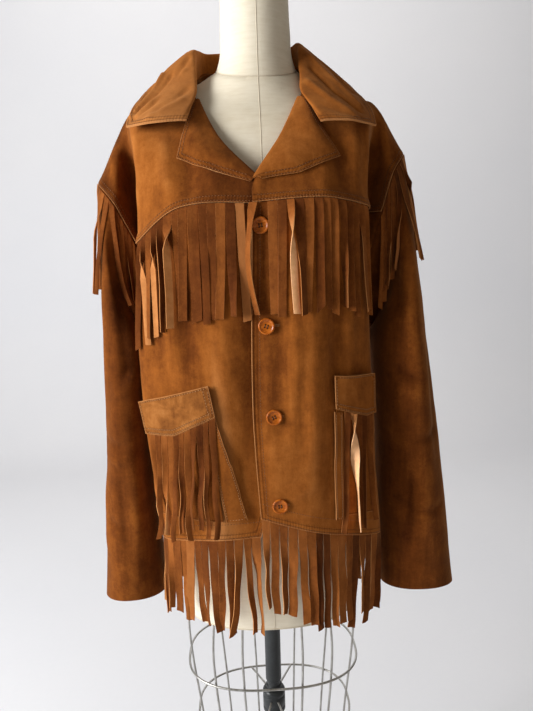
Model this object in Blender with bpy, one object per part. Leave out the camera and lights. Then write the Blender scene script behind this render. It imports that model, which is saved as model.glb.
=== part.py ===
"""Fringed suede western jacket on a limbless dress form with a wire cage and a pole stand.

Metres, +Z up. The floor is z = 0 and the form's pole stands on the Z axis; the front faces -Y, so the
wearer's left side is at +X. "right" and "left" in names are the wearer's.
The garment is worked out as one skin: sections of named points, in millimetres, are joined by smooth curves
into panels, and each panel gets its wall from the skin's own normals, so that panels meet in mitred seams.
"""

import math

import bmesh
import bpy
import numpy as np
from mathutils import Matrix, Vector
from mathutils.bvhtree import BVHTree

# ------------------------------------------------------------------ driving dimensions, metres
MM = 0.001
SUEDE_WALL = 0.0020  # one thickness of garment suede with its turned edges
COLLAR_WALL = 0.0024  # collar and lapels are two suedes, stitched together
TRIM_WALL = 0.0018  # pocket bags, bands and borders
SEAM_GAP = 0.0003  # clear width left at each seam
LAY_LIFT = 0.0024  # from the middle of a panel to the middle of a piece that lies on it
BAG_LIFT = 0.0008  # a pocket bag stands this much further off
FAR_OUT = 0.6  # where rays toward the garment start
SMALLEST_SUM = 0.2  # seam normals that nearly cancel are left as they are
SHARP_EDGE = math.radians(40)
RIM_DIRECTION = Vector((0.61, 0.37, 1.0))

FRINGE_WALL = 0.0030  # the reach of a row of hanging strips, front to back
FRINGE_LENGTH = 0.150
FRINGE_ROWS = 3
FRINGE_LIFT = 0.0020  # how much further off a hanging row stands than it must
BUTTON_DIAMETER = 0.023
BUTTON_PROFILE = (  # share of the radius, height: a raised rim round a dished middle
    (0, 0), (0.80, 0), (1, 0.0012), (1, 0.0030), (0.90, 0.0038), (0.72, 0.0038), (0.62, 0.0026), (0, 0.0026),
)
BUTTON_STEPS = 12
BUTTON_SPOTS = 8  # places round a button where the cloth under it is felt

CAGE_WIRE = 0.0038

# ------------------------------------------------------------------ garment sections, millimetres
# One row for each section, from the shoulder seam down. Columns are the places across a front:
# its front edge (the roll line above the lapel's break), the chest, the standing fold beside the chest,
# the valley behind that fold, and the armhole or side seam.
FRONT_COLUMNS = ("front", "chest", "fold", "valley", "seam")
RIGHT_FRONT = (
    # section       front               chest                fold                 valley              seam
    ("shoulder", (-90, 4, 1533), (-130, 3, 1515), (-172, 2, 1495), (-199, 0, 1475), (-242, 0, 1390)),
    ("collarbone", (-89, -56, 1500), (-132, -58, 1478), (-178, -56, 1463), (-204, -22, 1446), (-236, -20, 1381)),
    ("lapel", (-62, -100, 1438), (-120, -95, 1432), (-173, -78, 1425), (-204, -23, 1410), (-224, -33, 1367)),
    ("break", (2, -134, 1368), (-108, -118, 1386), (-171, -85, 1376), (-197, -20, 1368), (-209, -40, 1343)),
    ("yoke", (10, -139, 1347), (-113, -128, 1343), (-175, -87, 1300), (-184, -16, 1300), (-190, -38, 1302)),
    ("armpit", (11, -142, 1264), (-108, -132, 1257), (-180, -87, 1233), (-158, -30, 1235), (-173, -24, 1238)),
    ("underarm", (12, -145, 1180), (-104, -136, 1172), (-185, -87, 1166), (-165, -35, 1167), (-152, 2, 1168)),
    ("waist", (10, -146, 1060), (-104, -138, 1056), (-183, -90, 1058), (-162, -36, 1058), (-150, 3, 1058)),
    ("pocket", (6, -144, 975), (-102, -138, 972), (-177, -90, 970), (-161, -36, 969), (-151, 3, 968)),
    ("hem", (-18, -144, 871), (-94, -138, 867), (-166, -88, 851), (-163, -38, 846), (-155, 3, 842)),
)
LEFT_FRONT = (
    # section       front               chest                fold                 valley              seam
    ("shoulder", (67, 4, 1549), (108, 4, 1526), (152, 2, 1503), (185, 0, 1487), (223, 0, 1424)),
    ("collarbone", (64, -54, 1510), (108, -60, 1487), (155, -55, 1470), (187, -22, 1462), (214, -22, 1412)),
    ("lapel", (33, -100, 1444), (98, -95, 1437), (149, -77, 1427), (183, -24, 1418), (202, -34, 1397)),
    ("break", (-14, -138, 1373), (82, -121, 1388), (146, -84, 1375), (174, -22, 1370), (190, -44, 1370)),
    ("yoke", (-16, -143, 1348), (84, -132, 1352), (147, -87, 1341), (164, -18, 1335), (180, -44, 1335)),
    ("armpit", (-19, -146, 1264), (80, -136, 1262), (149, -87, 1254), (144, -32, 1252), (160, -27, 1256)),
    ("underarm", (-22, -149, 1180), (76, -139, 1172), (151, -87, 1166), (140, -35, 1167), (134, 2, 1168)),
    ("waist", (-24, -150, 1060), (76, -140, 1056), (157, -88, 1058), (147, -36, 1058), (137, 3, 1058)),
    ("pocket", (-22, -150, 985), (78, -139, 972), (161, -88, 962), (152, -36, 960), (143, 3, 958)),
    ("hem", (-18, -150, 902), (80, -138, 868), (170, -84, 838), (167, -38, 832), (160, 3, 830)),
)
# The back: the height and depth of its centre line, how square the section is, and the armhole's back edge.
BACK = (
    # section      centre              squareness  right seam         left seam
    ("shoulder", (-13, 62, 1550), 2.0, (-242, 0, 1390), (223, 0, 1424)),
    ("collarbone", (-13, 86, 1500), 2.1, (-237, 20, 1381), (215, 20, 1412)),
    ("lapel", (-13, 100, 1440), 2.3, (-226, 36, 1366), (205, 36, 1397)),
    ("break", (-12, 107, 1375), 2.5, (-212, 46, 1340), (194, 46, 1370)),
    ("yoke", (-12, 110, 1305), 2.7, (-193, 46, 1300), (183, 46, 1335)),
    ("armpit", (-11, 110, 1242), 2.75, (-175, 26, 1236), (161, 26, 1254)),
    ("underarm", (-11, 109, 1180), 2.8, (-152, 2, 1168), (134, 2, 1168)),
    ("waist", (-9, 108, 1060), 2.8, (-150, 3, 1058), (137, 3, 1058)),
    ("pocket", (-7, 111, 970), 2.8, (-151, 3, 968), (143, 3, 958)),
    ("hem", (0, 119, 857), 2.8, (-155, 3, 842), (160, 3, 830)),
)
BACK_NECK = {-1: (-75, 43, 1551), 1: (55, 44, 1556)}  # the back neckline, halfway from shoulder to centre
BACK_VALLEY = 14  # depth of the soft hollow behind each armhole, at the yoke
BACK_VALLEY_SHARES = {"collarbone": 0.4, "lapel": 0.6, "break": 0.8, "yoke": 1.0}
BACK_TURNS = {"seam": 0, "valley": 20, "fold": 38, "chest": 54, "front": 68, "neck": 80}  # degrees round a section
# how far the back swells halfway to the section below the shoulder seam
BACK_RISE = {"seam": 0, "valley": 4, "fold": 8, "chest": 12, "front": 15, "neck": 12}

SECTION_NAMES = tuple(row[0] for row in RIGHT_FRONT)
SECTION_KNOTS = (0, 62, 118, 190, 232, 310, 385, 500, 590, 700)  # their distance down the front, millimetres
SECTION_STEPS = (2, 2, 2, 1, 2, 1, 2, 1, 2)  # faces between one section and the next
ACROSS_KNOTS = (0, 90, 165, 225, 265)  # the front columns' distance across, millimetres
ACROSS_STEPS = (3, 2, 3, 2)
BACK_NECK_SPAN = 38  # from the shoulder seam's neck end to the neckline's halfway point, and on to the centre

# Sleeves, from the armhole to the cuff: the outer and inner side, the middle and half depth front to back,
# the height at the sleeve's middle, and how far the front of the section stands above its back.
RIGHT_SLEEVE = (
    # section, outer, inner, middle, half depth, height, tilt
    ("elbow_top", -247, -176, -4, 82, 1140, 0),
    ("elbow", -257, -184, -9, 78, 962, 6),
    ("forearm", -266, -183, -14, 70, 840, 10),
    ("cuff", -276, -178, -18, 63, 727, 14),
)
LEFT_SLEEVE = (
    # section, outer, inner, middle, half depth, height, tilt
    ("elbow_top", 257, 170, -4, 80, 1140, 0),
    ("elbow", 281, 180, -9, 75, 962, 6),
    ("forearm", 296, 186, -14, 67, 840, 10),
    ("cuff", 310, 191, -18, 59, 716, 14),
)
SLEEVE_KNOTS = (0, 14, 150, 330, 450, 570)  # distance down the sleeve
SLEEVE_STEPS = (1, 4, 2, 2, 2)
SLEEVE_ROUNDNESS = 0.9  # 1 is an ellipse, less is squarer
UNDERARM_REACH = 0.014  # how far it goes outward before it hangs, under the arm
LEAVING_SHARE = 0.08  # how much of the way to its first section it has then gone

# Collar, round the neck from its right end to its left end: seam to the neckline, fold, fall and outer edge.
COLLAR = (
    # station         seam                fold                fall                 edge
    ("right_end", (-99, -111, 1457), (-112, -113, 1457), (-140, -110, 1456), (-183, -84, 1455)),
    ("right_roll", (-89, -66, 1496), (-92, -72, 1497), (-134, -76, 1488), (-182, -58, 1475)),
    ("right_front", (-90, -28, 1522), (-91, -31, 1538), (-132, -34, 1519), (-173, -30, 1498)),
    ("right_shoulder", (-90, 6, 1539), (-91, 8, 1575), (-124, 8, 1555), (-155, 8, 1520)),
    ("right_back", (-72, 44, 1556), (-70, 52, 1583), (-92, 74, 1560), (-110, 92, 1522)),
    ("centre_back", (-13, 65, 1556), (-13, 70, 1590), (-13, 94, 1566), (-13, 112, 1522)),
    ("left_back", (51, 47, 1560), (46, 54, 1587), (68, 76, 1562), (86, 92, 1526)),
    ("left_shoulder", (66, 8, 1554), (65, 10, 1584), (94, 10, 1562), (128, 8, 1527)),
    ("left_front", (63, -28, 1532), (64, -31, 1543), (106, -34, 1527), (148, -30, 1503)),
    ("left_roll", (62, -66, 1501), (64, -73, 1499), (108, -76, 1490), (160, -58, 1476)),
    ("left_end", (79, -117, 1452), (92, -118, 1453), (122, -114, 1453), (161, -84, 1450)),
)
COLLAR_KNOTS = (0, 40, 80, 125)  # distance from the seam over the fold to the outer edge
COLLAR_STEPS = 2
COLLAR_ACROSS_STEPS = (1, 2, 3)

# Lapels: places down the roll line, with the outer edge beside each. The third one is the lapel's point.
RIGHT_LAPEL = (
    # roll line x, z    outer edge x, z
    ((-87, 1479), (-93, 1474)),
    ((-80, 1469), (-101, 1455)),
    ((-62, 1438), (-115, 1408)),
    ((-38, 1408), (-63, 1387)),
    ((-12, 1380), (-18, 1374)),
)
LEFT_LAPEL = (
    ((57, 1480), (66, 1473)),
    ((50, 1471), (80, 1450)),
    ((33, 1444), (105, 1407)),
    ((12, 1410), (48, 1384)),
    ((-10, 1380), (-3, 1377)),
)
LAPEL_RISE = 0.006  # how far the middle of a lapel stands off the chest
LAPEL_RISE_SHARE = 0.12  # but no more than this share of its width there
LAPEL_LIFT = 0.0010  # how much further off the chest its edges stand than a laid piece
LAPEL_STEPS = 2
LAPEL_ACROSS_STEPS = 4

# Pockets, by corners x, z on the front: the bag under the fringe, the band across its top with a shallow
# point, and the border that runs down beside the bag.
RIGHT_POCKET = {
    "band_top": ((-184, 1074), (-83, 1104)),
    "band_foot": ((-176, 1026), (-134, 1029), (-75, 1060)),
    "border_top": ((-90, 1052), (-76, 1058)),
    "border_foot": ((-68, 901), (-38, 902)),
    "bag_foot": ((-168, 898), (-72, 900)),
}
LEFT_POCKET = {
    "band_top": ((88, 1108), (152, 1101)),
    "band_foot": ((90, 1060), (138, 1041), (154, 1042)),
    "border_top": ((89, 1056), (101, 1052)),
    "border_foot": ((91, 890), (103, 888)),
    "bag_foot": ((105, 892), (158, 884)),
}
POCKET_OUTERMOST = {"right": 168, "left": 146}  # beyond this x a pocket's corner stands off the cloth
BAG_TOP_SHARES = (0.04, 0.96)  # the bag's mouth is a little narrower than its band
POCKET_STEPS = (7, 8)  # faces down and across a bag
POCKET_CORNER_SLOPE = 0.5  # how far back that corner goes, for each metre outward
BUTTON_PLACES = ((-7, 1318), (-3, 1183), (5, 1054), (10, 922))  # x, z on the left front, millimetres

# Chest fringes hang from the yoke seam, between two places x on it.
CHEST_FRINGE = {"right": (-174, -27), "left": (7, 146)}
CHEST_FRINGE_STEPS = 10
BACK_FRINGE_STEPS = 14
BACK_FRINGE_INSET = 0.026
SLEEVE_FRINGE_START = 0.003  # how far below the armhole seam its solid starts
STEEPEST = 0.4  # cloth that turns away further than this is not followed any closer
POCKET_FRINGE = {"right": (-76, -175), "left": (107, 153)}
POCKET_FRINGE_FOOT = 865
HEM_FRINGE = {"right": 135, "left": 150, "back": 140}  # lengths
SLEEVE_FRINGE_REACH = 7  # faces of the armhole seam that it hangs from, before and behind the shoulder


# ------------------------------------------------------------------ dress form sections, millimetres
FORM_SEAT = 0.1  # raises the form's shoulders to just under the garment, millimetres
TORSO = (
    # height at the side, half width, front depth, back depth, squareness, front slope, back slope
    (690, 146, 103, 100, 2.3, 0, 0),
    (740, 149, 108, 103, 2.3, 0, 0),
    (830, 149, 108, 103, 2.3, 0, 0),
    (930, 140, 104, 96, 2.2, 0, 0),
    (1050, 118, 96, 80, 2.1, 0, 0),
    (1150, 126, 108, 84, 2.2, 0, 0),
    (1240, 140, 121, 90, 2.3, 0, 0),
    (1320, 150, 121, 92, 2.4, 0, 0),
    (1390, 159, 117, 92, 2.4, 0.25, 0),
    (1435, 164, 113, 90, 2.4, 0.50, 0),
    (1468, 163, 109, 88, 2.4, 0.70, -0.05),
    (1493, 152, 102, 78, 2.3, 0.80, -0.10),
    (1512.5, 125, 88, 70, 2.1, 0.58, -0.08),
    (1526, 90, 73, 58, 2.05, 0.48, 0.0),
    (1544.4, 59, 60, 50, 2.0, 0.36, 0.20),
)
SHOULDER_ROWS = 5  # how many of these rows are the shoulders
NECK = (
    # height, half width, front depth, back depth, front slope, back slope
    (1545.2, 59, 60, 50, 0.36, 0.20),
    (1560, 54, 56, 48, 0.28, 0.24),
    (1595, 51.5, 53, 48, 0.10, 0.10),
    (1662, 49, 50, 48, 0, 0),
)
NECK_CAP = ((1662.3, 1.0), (1670, 1.0), (1675, 0.9), (1678, 0.62))  # height, share of the neck's width
FORM_SIDES = 28

# ------------------------------------------------------------------ stand sections, millimetres
POLE = ((14, 16.3), (14, 454.7))  # radius, height
POLE_TOP = ((14, 502.3), (11.7, 510), (11.7, 518), (14, 526), (14, 689.7))
HUB = ((17, 455), (20, 459), (20, 497), (16, 502))
BASE = ((216, 0), (220, 4), (218, 10), (60, 15), (40, 16))
CAGE = (
    # height, half width, half depth
    (689.4, 142, 99),
    (640, 146, 101),
    (580, 143, 98),
    (472, 131, 89),
    (300, 114, 78),
)
CAGE_SQUARENESS = 2.6
FRONT_WIRES = (-0.69, -0.365, 0.30, 0.64)  # where each wire stands, as a share of the cage's half width
BACK_WIRES = (-0.66, -0.22, 0.34, 0.76)
UPPER_RING, LOWER_RING, FOOT_RING = 580, 472, 303  # heights
RING_STEP = math.radians(13)
STRUT_SPREADS = {-1: 28, 1: 38}  # where struts meet the lower ring, from the middle, on its front and back
STRUT_HEIGHT = 484  # where it meets the hub
STRUT_GAP = 0.0008
POLE_SIDES = 20
BASE_SIDES = 40

MATERIALS = {
    "suede": ((0.36, 0.17, 0.06), 0.92, 0.0),
    "suede_trim": ((0.46, 0.25, 0.11), 0.92, 0.0),
    "button": ((0.42, 0.11, 0.03), 0.35, 0.0),
    "linen": ((0.74, 0.68, 0.57), 0.85, 0.0),
    "wire": ((0.55, 0.55, 0.53), 0.35, 1.0),
    "pole": ((0.06, 0.07, 0.075), 0.5, 0.3),
}


# ------------------------------------------------------------------ objects and materials
def clear_scene():
    for thing in list(bpy.data.objects):
        bpy.data.objects.remove(thing)


def finish(name):
    """The Principled material of this name, made on first use."""
    made = bpy.data.materials.get(name)
    if made:
        return made
    colour, roughness, metallic = MATERIALS[name]
    made = bpy.data.materials.new(name)
    made.use_nodes = True
    shader = made.node_tree.nodes["Principled BSDF"]
    shader.inputs["Base Color"].default_value = (*colour, 1.0)
    shader.inputs["Roughness"].default_value = roughness
    shader.inputs["Metallic"].default_value = metallic
    return made


def add_object(name, bm, material):
    """A node of its own from a closed bmesh."""
    bmesh.ops.recalc_face_normals(bm, faces=bm.faces)
    mesh = bpy.data.meshes.new(name)
    bm.to_mesh(mesh)
    bm.free()
    mesh.shade_smooth()
    mesh.set_sharp_from_angle(angle=SHARP_EDGE)
    made = bpy.data.objects.new(name, mesh)
    made.data.materials.append(finish(material))
    bpy.context.scene.collection.objects.link(made)
    return made


# ------------------------------------------------------------------ smooth curves through named points
def curve_weights(knots, places):
    """How much each knot counts at each place, for a smooth curve through all knots."""
    knots = np.asarray(knots, float)
    count = len(knots)
    steps = np.diff(knots)
    slopes = np.zeros((count, count))
    for i in range(count):
        if i == 0:
            slopes[0, 1], slopes[0, 0] = 1 / steps[0], -1 / steps[0]
        elif i == count - 1:
            slopes[i, i], slopes[i, i - 1] = 1 / steps[-1], -1 / steps[-1]
        else:
            before, after = steps[i - 1], steps[i]
            total = before + after
            slopes[i, i + 1] += before / after / total
            slopes[i, i] += after / before / total - before / after / total
            slopes[i, i - 1] -= after / before / total
    rows = []
    for place in places:
        i = min(int(np.searchsorted(knots, place, side="right")) - 1, count - 2)
        i = max(i, 0)
        h = steps[i]
        t = (place - knots[i]) / h
        row = np.zeros(count)
        row[i] += 2 * t**3 - 3 * t**2 + 1
        row[i + 1] += -2 * t**3 + 3 * t**2
        row += (t**3 - 2 * t**2 + t) * h * slopes[i]
        row += (t**3 - t**2) * h * slopes[i + 1]
        rows.append(row)
    return np.array(rows)


def divided(knots, steps):
    """Places along the knots, with the given number of steps in each stretch."""
    places = []
    for low, high, count in zip(knots[:-1], knots[1:], steps):
        places += list(np.linspace(low, high, count, endpoint=False))
    return places + [knots[-1]]


def surface(net, down_knots, down_places, across_knots, across_places):
    """Points on the smooth surface through a net of named points."""
    down = curve_weights(down_knots, down_places)
    across = curve_weights(across_knots, across_places)
    return np.einsum("vr,uc,rcx->vux", down, across, np.asarray(net, float))


def grid_normals(grid, closed=False):
    """Unit normals of a grid of points, from its own two directions."""
    down = np.gradient(grid, axis=0)
    if closed:
        across = (np.roll(grid, -1, axis=1) - np.roll(grid, 1, axis=1)) / 2
    else:
        across = np.gradient(grid, axis=1)
    normal = np.cross(across, down)
    return normal / np.linalg.norm(normal, axis=2, keepdims=True)


# ------------------------------------------------------------------ panels
class Panel:
    """A stretch of cloth: a grid of points in its middle, and the outward normal at each."""

    def __init__(self, grid, outward, closed=False, normals=None):
        self.grid = np.asarray(grid, float)
        self.closed = closed
        self.normals = grid_normals(self.grid, closed) if normals is None else normals
        middle = self.grid[self.grid.shape[0] // 2].mean(axis=0)
        if outward is not None and self._facing(outward, middle) < 0:
            self.normals = -self.normals

    def _facing(self, outward, middle):
        if outward == "round":
            from_axis = self.grid - self.grid.mean(axis=1, keepdims=True)
            return float((self.normals * from_axis).sum())
        return float((self.normals @ np.array(outward, float)).sum())

    def edge_places(self):
        """Grid positions along the open edges."""
        rows, columns = self.grid.shape[:2]
        for v in range(rows):
            for u in range(columns):
                if v in (0, rows - 1) or (not self.closed and u in (0, columns - 1)):
                    yield v, u


def share_seam_normals(panels):
    """Where panels meet, they take one normal between them, which mitres the seam."""
    meeting = {}
    for panel in panels:
        for v, u in panel.edge_places():
            key = tuple(np.round(panel.grid[v, u], 6))
            meeting.setdefault(key, []).append((panel, v, u))
    for places in meeting.values():
        total = sum(panel.normals[v, u] for panel, v, u in places)
        length = np.linalg.norm(total)
        if length > SMALLEST_SUM:
            for panel, v, u in places:
                panel.normals[v, u] = total / length


def drawn_in(grid, closed, gap):
    """The grid with its open edges drawn in by a gap."""
    grid = grid.copy()

    def pull(edge, inner):
        way = inner - edge
        return edge + way / np.linalg.norm(way, axis=-1, keepdims=True) * gap

    grid[0], grid[-1] = pull(grid[0], grid[1]), pull(grid[-1], grid[-2])
    if not closed:
        grid[:, 0] = pull(grid[:, 0], grid[:, 1])
        grid[:, -1] = pull(grid[:, -1], grid[:, -2])
    return grid


def rim(bm, first, second, turned_over):
    """Two triangles between the outer and inner corners of one edge step.

    The diagonal runs from the outer corner that is further along one fixed direction, so that both sides of
    a seam are cut alike."""
    (outer_a, inner_a), (outer_b, inner_b) = first, second
    if (outer_a.co - outer_b.co).dot(RIM_DIRECTION) > 0:
        faces = [(outer_a, outer_b, inner_b), (outer_a, inner_b, inner_a)]
    else:
        faces = [(outer_a, outer_b, inner_a), (outer_b, inner_b, inner_a)]
    for corners in faces:
        bm.faces.new(corners[::-1] if turned_over else corners)


def wall(name, panel, thickness, material, gap=SEAM_GAP / 2):
    """The closed solid of a panel: its grid moved out and in by half the thickness, with rims."""
    outer = drawn_in(panel.grid + panel.normals * thickness / 2, panel.closed, gap)
    inner = drawn_in(panel.grid - panel.normals * thickness / 2, panel.closed, gap)
    rows, columns = outer.shape[:2]
    bm = bmesh.new()
    layers = [[[bm.verts.new(p) for p in row] for row in side] for side in (outer, inner)]
    across = columns if panel.closed else columns - 1
    for v in range(rows - 1):
        for u in range(across):
            w = (u + 1) % columns
            for layer, order in ((layers[0], 1), (layers[1], -1)):
                corners = [layer[v][u], layer[v][w], layer[v + 1][w], layer[v + 1][u]]
                bm.faces.new(corners[::order])
    pairs = [[(layers[0][v][u], layers[1][v][u]) for u in range(columns)] for v in range(rows)]
    for v in (0, rows - 1):
        for u in range(across):
            rim(bm, pairs[v][u], pairs[v][(u + 1) % columns], v == 0)
    if not panel.closed:
        for u in (0, columns - 1):
            for v in range(rows - 1):
                rim(bm, pairs[v][u], pairs[v + 1][u], u > 0)
    return add_object(name, bm, material)


# ------------------------------------------------------------------ the garment's skin
def row_of(section):
    """The grid row that lies on a named section."""
    return sum(SECTION_STEPS[: SECTION_NAMES.index(section)])


def front_grid(sections):
    net = np.array([row[1:] for row in sections], float) * MM
    return surface(
        net, SECTION_KNOTS, divided(SECTION_KNOTS, SECTION_STEPS), ACROSS_KNOTS, divided(ACROSS_KNOTS, ACROSS_STEPS)
    )


def back_grid(right, left):
    """The back, whose top row is the two shoulder seams with the back neckline between them."""
    net = []
    for index, (name, centre, squareness, right_seam, left_seam) in enumerate(BACK):
        row = []
        for side, seam, table in ((-1, right_seam, RIGHT_FRONT), (1, left_seam, LEFT_FRONT)):
            half = []
            for column, angle in BACK_TURNS.items():
                if index == 0:
                    known = column in FRONT_COLUMNS
                    half.append(table[0][1 + FRONT_COLUMNS.index(column)] if known else BACK_NECK[side])
                    continue
                turn = math.radians(angle)
                out = math.cos(turn) ** (2 / squareness)
                back = math.sin(turn) ** (2 / squareness)
                x = centre[0] + (seam[0] - centre[0]) * out
                y = seam[1] + (centre[1] - seam[1]) * back
                z = seam[2] + (centre[2] - seam[2]) * back
                if column == "valley":
                    y -= BACK_VALLEY * BACK_VALLEY_SHARES.get(name, 0)
                half.append((x, y, z))
            row.append(half)
        net.append(row[0] + [centre] + row[1][::-1])
    # halfway from the shoulder seam to the next section the cloth still lies high on the shoulder
    rise = [BACK_RISE[name] for name in BACK_TURNS]
    rise = np.array(rise + [rise[-1]] + rise[::-1])[:, None] * np.array((0, 0, 1))
    net.insert(1, (np.array(net[0]) + np.array(net[1])) / 2 + rise)
    section_knots = sorted({*SECTION_KNOTS, SECTION_KNOTS[1] / 2})
    spans = [*np.diff(ACROSS_KNOTS)[::-1], BACK_NECK_SPAN, BACK_NECK_SPAN]
    knots = np.cumsum([0, *spans, *spans[::-1]])
    steps = [*ACROSS_STEPS[::-1], 1, 1]
    steps += steps[::-1]
    places = divided(SECTION_KNOTS, SECTION_STEPS)
    grid = surface(np.array(net, float) * MM, section_knots, places, knots, divided(knots, steps))
    # the shoulder seams and the side seams are the fronts' own points
    width = right.shape[1]
    grid[0, :width] = right[0][::-1]
    grid[0, -width:] = left[0]
    under = row_of("underarm")
    grid[under:, 0] = right[under:, -1]
    grid[under:, -1] = left[under:, -1]
    return grid


def sleeve_grid(side, table, front, back_edge):
    """A sleeve, whose first ring is the armhole: down its front edge and up its back edge."""
    under = row_of("underarm")
    ring = list(front[: under + 1, -1]) + list(back_edge[1:under][::-1])
    count = len(ring)
    nets = [np.array(ring)]
    for _, outer, inner, middle, half_depth, height, tilt in table:
        centre = (outer + inner) / 2
        half_width = abs(outer - inner) / 2
        points = []
        for k in range(count):
            turn = 2 * math.pi * k / count
            c, s = math.cos(turn), math.sin(turn)
            x = centre + side * half_width * math.copysign(abs(c) ** SLEEVE_ROUNDNESS, c)
            y = middle - half_depth * math.copysign(abs(s) ** SLEEVE_ROUNDNESS, s)
            z = height + tilt * (middle - y) / half_depth
            points.append((x * MM, y * MM, z * MM))
        nets.append(np.array(points))
    # under the arm the sleeve first leaves the body, then hangs
    low = np.array([(1 - math.cos(2 * math.pi * k / count)) / 2 for k in range(count)])
    leaving = nets[0] + (nets[1] - nets[0]) * LEAVING_SHARE
    leaving[:, 0] += side * UNDERARM_REACH * low
    nets.insert(1, leaving)
    down = curve_weights(SLEEVE_KNOTS, divided(SLEEVE_KNOTS, SLEEVE_STEPS))
    return np.einsum("vr,rux->vux", down, np.array(nets))


class Skin:
    """The panels of fronts, back and sleeves, cut at the yoke seam."""

    def __init__(self):
        self.right = front_grid(RIGHT_FRONT)
        self.left = front_grid(LEFT_FRONT)
        self.back = back_grid(self.right, self.left)
        self.yoke_row = row_of("yoke")
        whole = {
            "right": Panel(self.right, (0, -1, 0)),
            "left": Panel(self.left, (0, -1, 0)),
            "back": Panel(self.back, (0, 1, 0)),
        }
        whole["right_sleeve"] = Panel(sleeve_grid(-1, RIGHT_SLEEVE, self.right, self.back[:, 0]), "round", True)
        whole["left_sleeve"] = Panel(sleeve_grid(1, LEFT_SLEEVE, self.left, self.back[:, -1]), "round", True)
        share_seam_normals(whole.values())
        self.whole = whole

    def part(self, name, above_yoke):
        panel = self.whole[name]
        rows = slice(0, self.yoke_row + 1) if above_yoke else slice(self.yoke_row, None)
        return Panel(panel.grid[rows], None, normals=panel.normals[rows])


def finder(grids):
    """A tree for finding the cloth's middle surface from the front."""
    points, faces = [], []
    for grid in grids:
        rows, columns = grid.shape[:2]
        base = len(points)
        points += [Vector(p) for p in grid.reshape(-1, 3)]
        for v in range(rows - 1):
            for u in range(columns - 1):
                a = base + v * columns + u
                faces.append((a, a + 1, a + columns + 1, a + columns))
    return BVHTree.FromPolygons(points, faces)


def on_cloth(tree, x, z, lift, facing=-1):
    """The point that lies on the cloth at x, z, seen from the front (or back), and moved out by lift."""
    start = Vector((x, facing * FAR_OUT, z))
    place, normal, _, _ = tree.ray_cast(start, Vector((0, -facing, 0)))
    if place is None:
        near = Vector((x, facing * 0.14, z))
        place, normal, _, _ = tree.find_nearest(near)
        place = Vector((x, place.y, z))
    if normal.y * facing < 0:
        normal = -normal
    return np.array(place + normal * lift)


def blend(a, b, t):
    return tuple(p + (q - p) * t for p, q in zip(a, b))


# ------------------------------------------------------------------ pieces on the skin
def make_collar():
    knots = range(len(COLLAR))
    net = np.array([row[1:] for row in COLLAR], float) * MM
    around = divided(list(knots), [COLLAR_STEPS] * (len(COLLAR) - 1))
    grid = surface(net, knots, around, COLLAR_KNOTS, divided(COLLAR_KNOTS, COLLAR_ACROSS_STEPS))
    return wall("collar", Panel(grid, (0, 0, 1)), COLLAR_WALL, "suede")


def make_lapel(name, table, tree):
    rows = []
    for (roll_a, edge_a), (roll_b, edge_b) in zip(table[:-1], table[1:]):
        for step in range(LAPEL_STEPS):
            rows.append((blend(roll_a, roll_b, step / LAPEL_STEPS), blend(edge_a, edge_b, step / LAPEL_STEPS)))
    rows.append(table[-1])
    across = LAPEL_ACROSS_STEPS
    grid = []
    for roll, edge in rows:
        line = []
        for k in range(across + 1):
            x, z = blend(roll, edge, k / across)
            width = math.hypot(roll[0] - edge[0], roll[1] - edge[1]) * MM
            rise = min(LAPEL_RISE, width * LAPEL_RISE_SHARE) * math.sin(math.pi * k / across)
            line.append(on_cloth(tree, x * MM, z * MM, LAY_LIFT + LAPEL_LIFT + rise))
        grid.append(line)
    return wall(name, Panel(grid, (0, -1, 0)), COLLAR_WALL, "suede")


def patch_point(tree, x, z, lift, outermost):
    """A point that lies on the cloth. Beyond the outermost x it stands free, going on as it lay before."""
    inside = math.copysign(min(abs(x), outermost), x)
    return on_cloth(tree, inside, z, lift) + np.array((x - inside, abs(x - inside) * POCKET_CORNER_SLOPE, 0))


def laid_patch(tree, corners, lift, rows, columns, outermost):
    """A grid laid on the cloth between four corners: top first, top last, foot last, foot first."""
    top_a, top_b, foot_b, foot_a = corners
    grid = []
    for v in range(rows + 1):
        start, stop = blend(top_a, foot_a, v / rows), blend(top_b, foot_b, v / rows)
        places = [blend(start, stop, u / columns) for u in range(columns + 1)]
        grid.append([patch_point(tree, x * MM, z * MM, lift, outermost) for x, z in places])
    return np.array(grid)


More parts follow.
